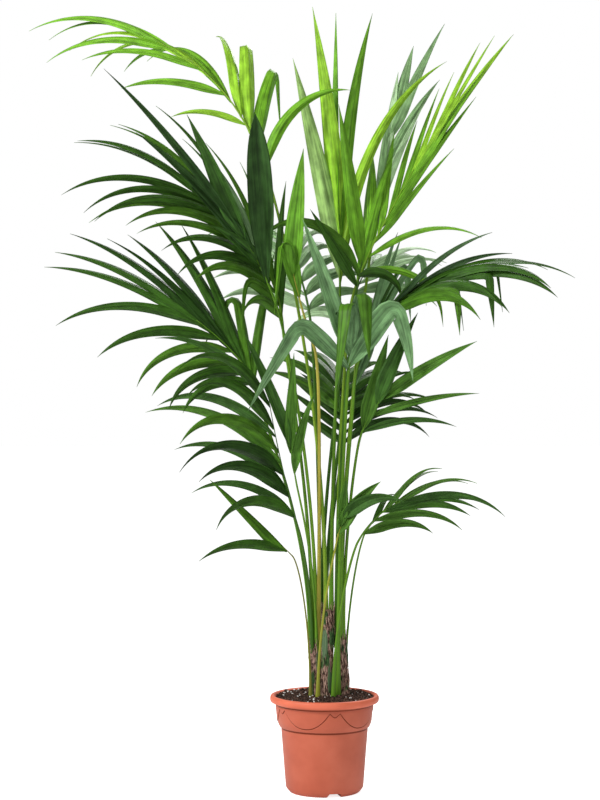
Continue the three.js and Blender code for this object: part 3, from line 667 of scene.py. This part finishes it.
# %% [markdown]
# ### Which leaflets find room
# Leaves don't grow through each other. The crown is divided into small cells, each stalk and rib
# takes the cells round it, and a leaflet that meets another frond's cells tries a few places
# beside its first one. Where all are taken it is left out. Leaflets of one frond may share cells
# near the rib, and cross a little further out.

# %% Room in the crown
CELL = 6
NUDGES = [  # degrees added to the fan and to the lift
    (0, 0), (0, 14), (0, -14), (0, 28), (0, -28), (6, 0), (-6, 0), (6, 20), (-6, -20), (12, 0), (-12, 0),
]
ROOT_SHARE, CROSSING = 0.2, 0.12
owners = np.zeros((300, 300, 330), np.int16)
crossed = np.zeros(owners.shape, bool)
MIDDLE = np.array([150, 150, 5])


def cells(points):
    return (np.floor(points / CELL).astype(int) + MIDDLE).T


def take_room(points, owner):
    here = cells(points)
    for dx in (-1, 0, 1):
        for dy in (-1, 0, 1):
            for dz in (-1, 0, 1):
                near = tuple(here + np.array([[dx], [dy], [dz]]))
                owners[near] = np.where(owners[near] == 0, owner, owners[near])


def leaf_samples(line, leaf):
    """Points spread over a leaflet's face, and how far along it each lies."""
    at, ahead, normal = line
    points, shares = [], []
    for step in range(1, STEPS + 1):
        share = step / STEPS
        half = leaf["width"] / 2 * leaf_width(share, leaf["blunt"])
        side = np.cross(ahead[step], normal[step])
        parts = max(1, math.ceil(2 * half / CELL))
        rows = math.ceil(np.linalg.norm(at[step] - at[step - 1]) / CELL)
        for row in range(rows):
            middle = at[step] + (at[step - 1] - at[step]) * row / rows
            across = np.arange(-parts, parts + 1)[:, None] * half / parts
            points.append(middle + across * side)
            shares += [share] * len(across)
    return np.concatenate(points), np.array(shares)


def fits(points, shares, owner):
    here = tuple(cells(points))
    held = owners[here]
    if ((held != 0) & (held != owner)).any():
        return False
    return (crossed[here] & (shares > ROOT_SHARE)).sum() <= len(points) * CROSSING


# %% [markdown]
# ### Leaflets of a frond
# Each leaflet stands at its share of the rib, fanned out from the rib's direction, lifted out of
# the frond's plane, and turned a little about its own length as the slats of a blind are.

# %% Leaflets of a frond
FAN_SPREAD, LIFT_SPREAD, TWIST_SPREAD = 4, 7, 30
LENGTH_SPREAD, WIDTH_SPREAD, DROOP_SPREAD, FOLD_SPREAD = 0.06, 0.1, 0.15, 0.08
FIRST_ROOT, ROOTS_ALONG = 0.02, 0.97


def wanted(frond):
    dice = Dice(frond["seed"])
    leaves = []
    for hand, side in ((1, frond["left"]), (-1, frond["right"])):
        for k in range(side["count"]):
            share = side["start"] + (1 - side["start"]) * (k + 0.5) / side["count"]
            leaves.append(dict(
                hand=hand, share=share,
                fan=along(side["fan"], share) + dice.spread() * FAN_SPREAD,
                lift=along(side["lift"], share) + dice.spread() * LIFT_SPREAD,
                length=along(side["length"], share) * (1 + dice.spread() * LENGTH_SPREAD),
                width=along(side["width"], share) * (1 + dice.spread() * WIDTH_SPREAD),
                droop=along(side["droop"], share) * (1 + dice.spread() * DROOP_SPREAD),
                crease=along(frond["crease"], share) if k in side["folded"] else 0,
                crease_at=frond.get("fold_at", FOLD_AT) + dice.spread() * FOLD_SPREAD,
                twist=dice.spread() * TWIST_SPREAD,
                blunt=k in side["blunt"]))
    return leaves


def placed(frond, owner):
    layout = lay_out(frond)
    grown = []
    for leaf in wanted(frond):
        root = np.array([leaf["share"] * ROOTS_ALONG + FIRST_ROOT])
        at, ahead, side, face = (
            found[0] for found in frames_at(layout["rib"], root, layout["aside"], frond["roll"]))
        for fan_nudge, lift_nudge in NUDGES:
            fan = math.radians(leaf["fan"] + fan_nudge)
            lift = math.radians(leaf["lift"] + lift_nudge)
            across = side * leaf["hand"] * math.cos(lift) + face * math.sin(lift)
            upper = face * math.cos(lift) - side * leaf["hand"] * math.sin(lift)
            out = ahead * math.cos(fan) + across * math.sin(fan)
            pitch = math.radians(PITCH) * leaf["hand"]
            upper = (upper * math.cos(pitch) + np.cross(out, upper) * math.sin(pitch)
                     + out * (out @ upper) * (1 - math.cos(pitch)))
            line = leaf_line(at, out, upper, leaf)
            points, shares = leaf_samples(line, leaf)
            if fits(points, shares, owner):
                take_room(points, owner)
                crossed[tuple(cells(points[shares > ROOT_SHARE]))] = True
                grown.append((leaf, line))
                break
    return grown


STALK_OWNER = 100
for number, frond in enumerate(FRONDS, 1):
    layout = lay_out(frond)
    take_room(evenly(layout["stalk"], 200)[:-4], number + STALK_OWNER)
    take_room(evenly(layout["rib"], 120), number)
grown = {frond["name"]: placed(frond, number) for number, frond in enumerate(FRONDS, 1)}
print("leaflets:", sum(len(leaves) for leaves in grown.values()))

# %% [markdown]
# ### Leaflet blades
# A real leaflet is thin, with its midrib raised and both halves falling away from it like a low
# roof, steeper near the root, and each half is pleated along its length. Each blade is a grid
# along its line: nine points across on top, the same below, and a rim that closes the two. One
# mesh for each frond keeps its leaflets together.

# %% Leaflet blades
THICK, THINNEST = 0.7, 0.015
ROOF, ROOT_ROOF = 25, 18
VEIN_LENGTH = 60
ACROSS = np.linspace(-1, 1, 9)
PLEATS = np.array([0, -0.03, 0.03, -0.03, 0.09, -0.03, 0.03, -0.03, 0])


def blade(heap, leaf, line, tone, row_shares):
    at, ahead, normal = line
    steps = np.arange(STEPS + 1) / STEPS
    at, ahead, normal = (np.stack([np.interp(row_shares, steps, v[:, k]) for k in range(3)], 1)
                         for v in (at, ahead, normal))
    side = np.cross(ahead, normal)
    side /= np.linalg.norm(side, axis=1, keepdims=True)
    normal = np.cross(side, ahead)
    half = leaf["width"] / 2 * np.maximum(leaf_width(row_shares, leaf["blunt"]), THINNEST)
    roof = np.radians(ROOT_ROOF * (1 - row_shares) ** 2 + ROOF)
    over = half[:, None] * ACROSS
    down = half[:, None] * PLEATS - np.abs(over) * np.tan(roof)[:, None]
    top = at[:, None] + side[:, None] * over[..., None] + normal[:, None] * down[..., None]
    under = top - normal[:, None] * THICK
    rows, columns = len(row_shares), len(ACROSS)
    count = rows * columns
    length_wise = row_shares * leaf["length"] / VEIN_LENGTH + leaf["twist"]
    uvs = np.stack(np.meshgrid((ACROSS + 1) / 2, length_wise), -1)
    upper = grid_faces(rows, columns)
    lower = [tuple(i + count for i in face[::-1]) for face in upper]
    first, last = np.arange(rows) * columns, np.arange(rows) * columns + columns - 1
    rim = [(first[r], first[r + 1], first[r + 1] + count, first[r] + count) for r in range(rows - 1)]
    rim += [(last[r + 1], last[r], last[r] + count, last[r + 1] + count) for r in range(rows - 1)]
    rim += [(k + 1, k, k + count, k + 1 + count) for k in range(columns - 1)]
    end = count - columns
    rim += [(end + k, end + k + 1, end + k + 1 + count, end + k + count) for k in range(columns - 1)]
    points = np.concatenate([top.reshape(-1, 3), under.reshape(-1, 3)])
    both = np.concatenate([uvs.reshape(-1, 2), uvs.reshape(-1, 2)])
    before = len(heap.marks)
    heap.take(points, [face[::-1] for face in upper + lower + rim], tone * 2, both)
    for k in range(before + len(upper), before + len(upper + lower)):
        heap.marks[k] = tone * 2 + 1


# Tones of a frond's left and right leaflets, each row dealt out evenly from foot to tip.
# High fronds get light tones and low or hidden ones dark, partly because young leaves are paler and
# partly as painted light and painted shade. Sage and grey tones are painted sheen, pale is painted light,
# and the silvered backs are partly painted light.
TONES = {
    "upright": (("sage", "lime"), ("lime", "fresh", "bright")),
    "top_left": (("lime", "bright"), ("bright", "lime", "bright", "lime", "bright")),
    "top_right": (("fresh", "bright", "fresh", "lime"), ("mid", "bright", "fresh", "bright", "lime")),
    "high_back": (("grey", "pale", "grey"), ("pale", "grey")),
    "left_dark": (("mid", "dark", "mid", "dark"), ("dark", "mid", "grey", "dark", "mid", "dark")),
    "front_left": (("deep", "dark"), ("dark", "deep")),
    "front_mid": (("fresh",), ("mid", "fresh")),
    "left_mid": (("dark", "mid", "dark"), ("mid", "dark", "deep", "dark")),
    "left_low": (("dark", "deep", "mid", "dark"), ("dark", "mid", "dark")),
    "front_low": (("mid",), ("dark",)),
    "centre": (("dark", "mid", "fresh"), ("dark",)),
    "bifid": (("dark",), ("mid",)),
    "green_behind": (("dark", "mid"), ("dark",)),
    "right_mid": (("dark", "mid"), ("mid", "dark")),
    "right_high": (("dark_silvered",), ("dark", "mid_silvered", "dark_silvered")),
    "near_fall": (("mid_silvered",), ("mid_silvered",)),
    "back_low": (("dark", "deep"), ("deep", "dark")),
    "back_left": (("pale", "grey"), ("grey", "pale")),
    "back_right": (("pale", "grey"), ("grey", "pale")),
}
MIXED = (("mid", "dark"), ("dark", "mid"))
row_shares = np.concatenate([np.linspace(0, 0.94, 26), [0.97, 1.0]])
triangles = 0
for frond in FRONDS:
    heap = Heap()
    left, right = TONES.get(frond["name"], MIXED)
    tones = sorted(set(left + right))
    for leaf, line in grown[frond["name"]]:
        dealt = left if leaf["hand"] > 0 else right
        tone = dealt[int(leaf["share"] * len(dealt))]
        blade(heap, leaf, line, tones.index(tone), row_shares)
    finishes = [part[tone] for tone in tones for part in (leaf_tops, leaf_backs)]
    leaves = heap.make(f"leaves_{frond['name']}", finishes, "leaf", f"frond_{frond['name']}")
    triangles += 2 * len(leaves.data.polygons)
print("leaf triangles:", triangles)

# %% [markdown]
# ### Stalks and ribs
# A stalk is round below, where it clasps its neighbours with a broad sheath, and flatter towards
# the collar, and it runs on as the rib to a hair-thin tip. One tube carries both. It starts a
# little inside the trunk or the compost that holds it, so that no cut end shows.

# %% Stalks and ribs
ROOTED = 16
STALK_TONES = {
    "yellow": "sallow", "front_mid": "yellow", "top_left": "light", "top_right": "light",
    "bifid": "olive", "high_back": "light", "back_low": "deep", "back_left": "deep",
    "back_right": "deep", "right_behind": "deep", "centre": "deep", "left_low": "deep",
}
SLIM = {
    "bifid": 0.55, "yellow": 0.7, "green_behind": 0.65, "front_low": 0.7, "left_low": 0.8,
    "green_low": 0.85,
}
FOOT_RADIUS, TAPER, RIB_RADIUS, TIP_RADIUS = 4.3, 1.2, 3.1, 0.9
FLARE_ON_TRUNK, FLARE_IN_SOIL, FLARE_FADE = 2.2, 3.6, 14
DEPTH_LOW, DEPTH_AT_TIP = 0.92, 0.75
STALK_ROWS, STALK_END, RIB_ROWS, ROOT_TAPER = 40, 0.985, 24, np.array([0.45, 0.85])
for frond in FRONDS:
    layout = lay_out(frond)
    heap = Heap()
    at_low, _, side_low, face_low = frames_at(
        layout["stalk"], np.linspace(0, STALK_END, STALK_ROWS), layout["aside"])
    at_up, _, side_up, face_up = frames_at(
        layout["rib"], np.linspace(0, 1, RIB_ROWS), layout["aside"])
    root = at_low[0] - UP * np.array([[ROOTED], [ROOTED / 2]])
    at = np.concatenate([root, at_low, at_up])
    side = np.concatenate([side_low[[0, 0]], side_low, side_up])
    face = np.concatenate([face_low[[0, 0]], face_low, face_up])
    share = np.linspace(0, 1, len(at_low))
    flare = FLARE_ON_TRUNK if PLANTS[frond["plant"]]["height"] else FLARE_IN_SOIL
    slim = SLIM.get(frond["name"], 1.0)
    low = (FOOT_RADIUS - TAPER * share) * slim + flare * np.exp(-share * FLARE_FADE)
    high = np.linspace(RIB_RADIUS * slim, TIP_RADIUS, len(at_up))
    width = np.concatenate([low[0] * ROOT_TAPER, low, high])
    flatness = np.linspace(DEPTH_LOW, DEPTH_AT_TIP, len(at_up))
    depth = width * np.concatenate([np.full(len(at_low) + 2, DEPTH_LOW), flatness])
    tube(heap, at, side, face, width, depth, sides_count=10, uv_start=frond["seed"] * 3.1)
    tone = STALK_TONES.get(frond["name"], "green")
    heap.make(f"stem_{frond['name']}", [STALKS[tone]], "stalk", f"stalk_{frond['name']}")
print("stalks:", len(FRONDS))

# %% [markdown]
# ## Trunks
# Each young trunk is wrapped in the fibrous sheaths of fallen leaves. A fine grid of points with
# lengthwise ridges gives the relief, each sheath ends in a ragged step, and loose strands hang
# off it.

# %% Trunks
rng = np.random.default_rng(11)
STRANDS, LOW_STRANDS, STRAND_REACH = 150, 90, 24
SHEATHS, SHEATH_STEP, RIDGE, GRAIN, TEAR, ROOT_DEPTH = 4, 1.1, 1.5, 0.7, 9, 3
TRUNK_ROWS, TRUNK_COLUMNS, SEAMLESS_TURN = 120, 72, 6.3


def on_axis(plant, share, height):
    """A place on a trunk's leaning axis."""
    back = share - 1
    return np.array([plant["x"] + plant["lean"][0] * back, plant["y"] + plant["lean"][1] * back, height])


def around(turn, scale, level):
    """A noise value that runs round the trunk without a seam."""
    return noise.noise(Vector((math.cos(turn) * scale, math.sin(turn) * scale, level)))


for name, plant in PLANTS.items():
    if not plant["height"]:
        continue
    heap = Heap()
    share = np.linspace(0, 1, TRUNK_ROWS)
    turn = np.linspace(0, 2 * math.pi, TRUNK_COLUMNS, endpoint=False)
    base = plant["foot"] + (plant["top"] - plant["foot"]) * share + 2 * np.exp(-share * 18)
    points = np.zeros((TRUNK_ROWS, TRUNK_COLUMNS, 3))
    for r in range(TRUNK_ROWS):
        for c in range(TRUNK_COLUMNS):
            ragged = around(turn[c], 4, 3.3) * 0.12
            within = ((share[r] + ragged) * SHEATHS) % 1
            ridge = around(turn[c], 9, share[r] * 2.2)
            small = around(turn[c], 22, share[r] * 9)
            radius = base[r] + SHEATH_STEP * (1 - within) - 0.8 + RIDGE * ridge + GRAIN * small
            radius *= 1 if r < TRUNK_ROWS - 1 else 0.2
            torn = TEAR * around(turn[c], 5, 7.7) * share[r] ** 6
            height = SOIL_TOP - ROOT_DEPTH + share[r] * (plant["height"] + ROOT_DEPTH) + torn
            points[r, c] = on_axis(plant, share[r], height)
            points[r, c] += (radius * math.cos(turn[c]), radius * math.sin(turn[c]), 0)
    uvs = np.stack(np.meshgrid(turn / SEAMLESS_TURN, share), -1)
    faces = grid_faces(TRUNK_ROWS, TRUNK_COLUMNS, wrap=True) + end_faces(TRUNK_ROWS, TRUNK_COLUMNS)
    heap.take(points, faces, uvs=uvs)
    heap.make(f"trunk_skin_{name}", [fibre.material], "trunk", f"trunk_{name}")
    strands = Heap()
    for index in range(STRANDS):
        angle = rng.uniform(0, 2 * math.pi)
        low = rng.uniform(0.0, 0.85) if index < LOW_STRANDS else rng.uniform(0.82, 0.98)
        tall = rng.uniform(12, 42)
        radius = plant["foot"] + (plant["top"] - plant["foot"]) * low + 0.6
        out = np.array([math.cos(angle), math.sin(angle), 0])
        foot = on_axis(plant, low, SOIL_TOP + low * plant["height"]) + out * radius
        top_height = min(tall, SOIL_TOP + plant["height"] + STRAND_REACH - foot[2])
        aside = np.array([-out[1], out[0], 0])
        peel = rng.uniform(0.2, 3.0)
        way = [foot, foot + UP * top_height * 0.5 + out * 0.4, foot + UP * top_height + out * peel
               + aside * rng.uniform(-4, 4)]
        at, _ = bezier(way, np.linspace(0, 1, 7))
        thin = np.linspace(1.0, 0.25, 7) * rng.uniform(0.4, 1.5)
        tube(strands, at, np.tile(aside, (7, 1)), np.tile(out, (7, 1)), thin, thin * 0.5, sides_count=5)
    strands.make(f"strands_{name}", [fibre.material], "trunk")
print("trunks:", sum(1 for plant in PLANTS.values() if plant["height"]))

# %% [markdown]
# ### Green sheaths
# Between the dry fibres the youngest sheaths are still green. Each is a long flat lance that clasps
# the trunk at its foot and ends in a point beside the stalks.

# %% Green sheaths
GREEN_SHEATHS = [  # trunk, heading, share of its height at the foot, length, half width
    ("middle", -118, 0.46, 88, 8.0), ("middle", -62, 0.06, 95, 6.0), ("middle", 150, 0.50, 80, 7.0),
    ("left", -60, 0.55, 62, 6.0), ("left", 170, 0.35, 70, 6.0), ("right", -150, 0.45, 70, 6.0),
    ("right", 20, 0.50, 64, 6.0), ("back", 60, 0.40, 90, 7.0), ("back", 130, 0.45, 80, 7.0),
]
LANCE_ROWS = 16
lances = Heap()
for name, heading, low, tall, wide in GREEN_SHEATHS:
    plant, turn = PLANTS[name], math.radians(heading)
    out = np.array([math.cos(turn), math.sin(turn), 0])
    aside = np.array([-out[1], out[0], 0])
    radius = plant["foot"] + (plant["top"] - plant["foot"]) * low + 0.5
    foot = on_axis(plant, low, SOIL_TOP + low * plant["height"]) + out * radius
    share = np.linspace(0, 1, LANCE_ROWS)
    at = foot + UP * tall * share[:, None] - out * (share * 2.5)[:, None]
    width = wide * np.sin(np.minimum(1, 0.3 + share * 1.6) * math.pi / 2) * (1 - share ** 2.2) + 0.3
    across, outward = np.tile(aside, (LANCE_ROWS, 1)), np.tile(out, (LANCE_ROWS, 1))
    tube(lances, at, across, outward, width, 0.25 * width + 0.4, sides_count=10)
lances.make("green_sheaths", [sheath.material], "trunk")
print("green sheaths:", len(GREEN_SHEATHS))

# %% [markdown]
# ## Compost
# The compost is heaped a little in the middle and crumbly. A grid gives the surface, and loose
# crumbs and round white perlite grains lie on it, each a small lump of its own.

# %% Compost
HEAPED, EDGE_FALL, SHOULDER, SHOULDER_WIDTH, SOIL_EDGE, SOIL_FOOT = 211.2, 3, 70, 37, 107.4, 188


def soil_height(x, y):
    rise = noise.fractal(Vector((x * 0.06, y * 0.06, 1.7)), 0.9, 2.1, 4) * 3.2
    fall = max(0, (math.hypot(x, y) - SHOULDER) / SHOULDER_WIDTH)
    return HEAPED - EDGE_FALL * fall + rise * 0.8


heap = Heap()
rings, columns = 44, 96
radii = np.linspace(0.5, SOIL_EDGE, rings)
turn = np.linspace(0, 2 * math.pi, columns, endpoint=False)
points = np.array([[(r * math.cos(a), r * math.sin(a), soil_height(r * math.cos(a), r * math.sin(a)))
                    for a in turn] for r in radii])
faces = grid_faces(rings, columns, wrap=True)
faces.append(tuple(range(columns)))
below = points[-1] * 0.95
below[:, 2] = SOIL_FOOT
heap.take(points, [face[::-1] for face in faces[:-1]] + [faces[-1]])
skirt_faces = grid_faces(2, columns, wrap=True) + [tuple(range(columns, 2 * columns))]
heap.take(np.stack([points[-1], below]), [face[::-1] for face in skirt_faces])
heap.make("compost", [earth.material], "soil", "soil")


def lump(heap, x, y, size, squash, raised):
    """A rough little lump of three rings with seven corners each."""
    turn = np.linspace(0, 2 * math.pi, 7, endpoint=False) + rng.uniform(0, 6)
    rings = [(0.55, -0.75), (1.0, 0.0), (0.6, 0.7)]
    points = [(*(np.array([math.cos(a), math.sin(a)]) * size * r * rng.uniform(0.7, 1.2)),
               size * h * squash * rng.uniform(0.8, 1.2)) for r, h in rings for a in turn]
    centre = (x, y, soil_height(x, y) + size * raised)
    heap.take(np.array(points) + centre, grid_faces(3, 7, wrap=True) + end_faces(3, 7))


def strewn(reach, innermost=0):
    """A place on the compost, as likely to be in any part of it."""
    radius, angle = reach * math.sqrt(rng.uniform(innermost, 1)), rng.uniform(0, 2 * math.pi)
    return radius * math.cos(angle), radius * math.sin(angle)


CRUMBS, GRAINS = 2600, 70
crumbs = Heap()
for _ in range(CRUMBS):
    x, y = strewn(107)
    size = rng.uniform(0.8, 2.4) + (rng.uniform(0, 1) > 0.93) * rng.uniform(1, 3)
    lump(crumbs, x, y, size, squash=0.8, raised=0.3)
crumbs.make("crumbs", [earth.material], "soil", smooth=False)
grains = Heap()
for _ in range(GRAINS):
    x, y = strewn(102, innermost=0.03)
    lump(grains, x, y, rng.uniform(0.9, 2.6), squash=0.9, raised=0.7)
grains.make("perlite_grains", [perlite], "soil", smooth=False)
print("crumbs and grains:", CRUMBS + GRAINS)

# %% [markdown]
# ## Pot
# The pot is turned: one profile swept round its axis, with a rolled rim, a band under it that
# steps in at a ledge, and a chamfered foot. The band carries a moulded garland of five swags. Its
# cloth stands a little proud of the wall, and a thin groove runs along its edge, so the band's
# rings are bent to follow that edge. Painted shade darkens the groove, the ledge and the corner
# under the rim, and painted light makes the rolled rim paler. Three notches are cut in the foot
# for water.

# %% Pot
# Profiles are given as (radius, height), from the foot up the outside and down the inside.
PROFILE = [
    (70, 0.0), (76.5, 0.4), (78.5, 2.0), (84.0, 8.6), (85.3, 11.5), (88.5, 50), (92.0, 95),
    (95.1, 134), (95.3, 138.8), (95.4, 140.2), (95.5, 142.2), (96.5, 142.8), (98.6, 143.2), (99.2, 143.8),
]
BAND = [(99.4, 144.6), (101.2, 148), (102.8, 152), (103.9, 157), (107.4, 191)]
BAND_FOOT, BAND_TOP = BAND[0], BAND[-1]
RIM = [
    (108.4, 193.6), (111.5, 195.4), (115.2, 196.2), (118.2, 197.6), (119.7, 200.2), (120, 204),
    (119.5, 208), (117.8, 210.8), (115.2, 212), (112.4, 211.8), (110.0, 210.2), (108.2, 207.4),
    (106.2, 203.5), (103.6, 190), (95.4, 145), (91.3, 136), (88.2, 95), (84.6, 50), (81.0, 14), (79, 12),
]
SWAGS, SWAG_TURN, TIE = 5, math.radians(-78.4), math.radians(6.1)
TIE_DIP, TIE_RISE, SWAG_LOW, SWAG_RISE = 177.5, 8.8, 150.6, 35.7


def swag_line(turn):
    """Height of the garland's lower edge on the band, by heading."""
    period = 2 * math.pi / SWAGS
    offset = ((turn - SWAG_TURN + period / 2) % period) - period / 2
    if abs(offset) < TIE:
        return TIE_DIP + TIE_RISE * (abs(offset) / TIE) ** 1.3
    hang = (abs(offset) - TIE) / (period / 2 - TIE)
    return SWAG_LOW + SWAG_RISE * (1 - hang) ** 2.3


columns = 600
turn = np.linspace(0, 2 * math.pi, columns, endpoint=False)
line = np.array([swag_line(a) for a in turn])


def ring_of(radius, height):
    """One ring of the pot, whose radius and height may differ by heading."""
    height = np.broadcast_to(height, turn.shape)
    return np.stack([radius * np.cos(turn), radius * np.sin(turn), height], 1)


rings = [ring_of(*place) for place in PROFILE]
# Rows painted darker as painted shade: the ledge here, then the garland's groove and the corner under the
# rim.
painted_shade_rows = {len(rings) - 6, len(rings) - 5, len(rings) - 4}
CLOTH, BELOW_GROOVE, ABOVE_GROOVE = 0.85, 2, 2.2
# How far above the swag line each ring of the groove lies, and how far it stands proud.
GROOVE = [(-2.0, 0.0), (-1.2, -0.35), (-0.4, -1.1), (0.4, -0.9), (1.1, 0.5), (1.8, CLOTH)]


def band_ring(height, proud):
    fade = np.clip((BAND_TOP[1] - height) / 4, 0, 1)
    radius = np.interp(height, [place[1] for place in BAND], [place[0] for place in BAND])
    return ring_of(radius + proud * fade, height)


even = np.linspace(0, 1, 16)
rings += [band_ring(BAND_FOOT[1] + (line - BELOW_GROOVE - BAND_FOOT[1]) * s, 0.0) for s in even]
painted_shade_rows |= {len(rings) + 1, len(rings) + 2, len(rings) + 3}
rings += [band_ring(line + above, proud) for above, proud in GROOVE]
cloth_foot = line + ABOVE_GROOVE
rings += [band_ring(cloth_foot + (BAND_TOP[1] - line - ABOVE_GROOVE) * s, CLOTH) for s in even]
painted_shade_rows.add(len(rings) - 1)
# The rolled rim's rows are painted lighter, as painted light.
rim_painted_light_rows = range(len(rings) + 2, len(rings) + 12)
rings += [ring_of(*place) for place in RIM]
heap = Heap()
heap.take(np.array(rings), grid_faces(len(rings), columns, wrap=True) + end_faces(len(rings), columns))
# Each row's finish: plain wall, painted shade, or painted light on the rolled rim.
WALL, PAINTED_SHADE, RIM_PAINTED_LIGHT = 0, 1, 2
for index in range((len(rings) - 1) * columns):
    row_number = index // columns
    heap.marks[index] = PAINTED_SHADE if row_number in painted_shade_rows else RIM_PAINTED_LIGHT if row_number in rim_painted_light_rows else WALL
pot = heap.make("pot_wall", [terracotta, terracotta_painted_shade, terracotta_rim_painted_light], "pot", "pot")
NOTCH_FOOT, NOTCH_TOP, NOTCH_HEIGHT, NOTCH_DEPTH, NOTCH_REACH = 34, 24, 9, 56, 60
cutters = []
for heading in (-75, 45, 165):
    bpy.ops.mesh.primitive_cube_add(size=1)
    cutter = bpy.context.object
    cutter.name = f"notch_{heading}"
    for corner in cutter.data.vertices:
        wide, high = (NOTCH_FOOT, -1) if corner.co.z < 0 else (NOTCH_TOP, NOTCH_HEIGHT)
        corner.co = Vector((NOTCH_REACH + corner.co.x * NOTCH_DEPTH, corner.co.y * wide, high)) * MM
    cutter.rotation_euler = (0, 0, math.radians(heading))
    cut = pot.modifiers.new("notch", "BOOLEAN")
    cut.operation, cut.object, cut.solver = "DIFFERENCE", cutter, "EXACT"
    cutters.append(cutter)
bpy.context.view_layer.update()
cut_mesh = bpy.data.meshes.new_from_object(pot.evaluated_get(bpy.context.evaluated_depsgraph_get()))
pot.modifiers.clear()
pot.data = cut_mesh
for cutter in cutters:
    bpy.data.objects.remove(cutter)
print("pot faces:", len(pot.data.polygons))
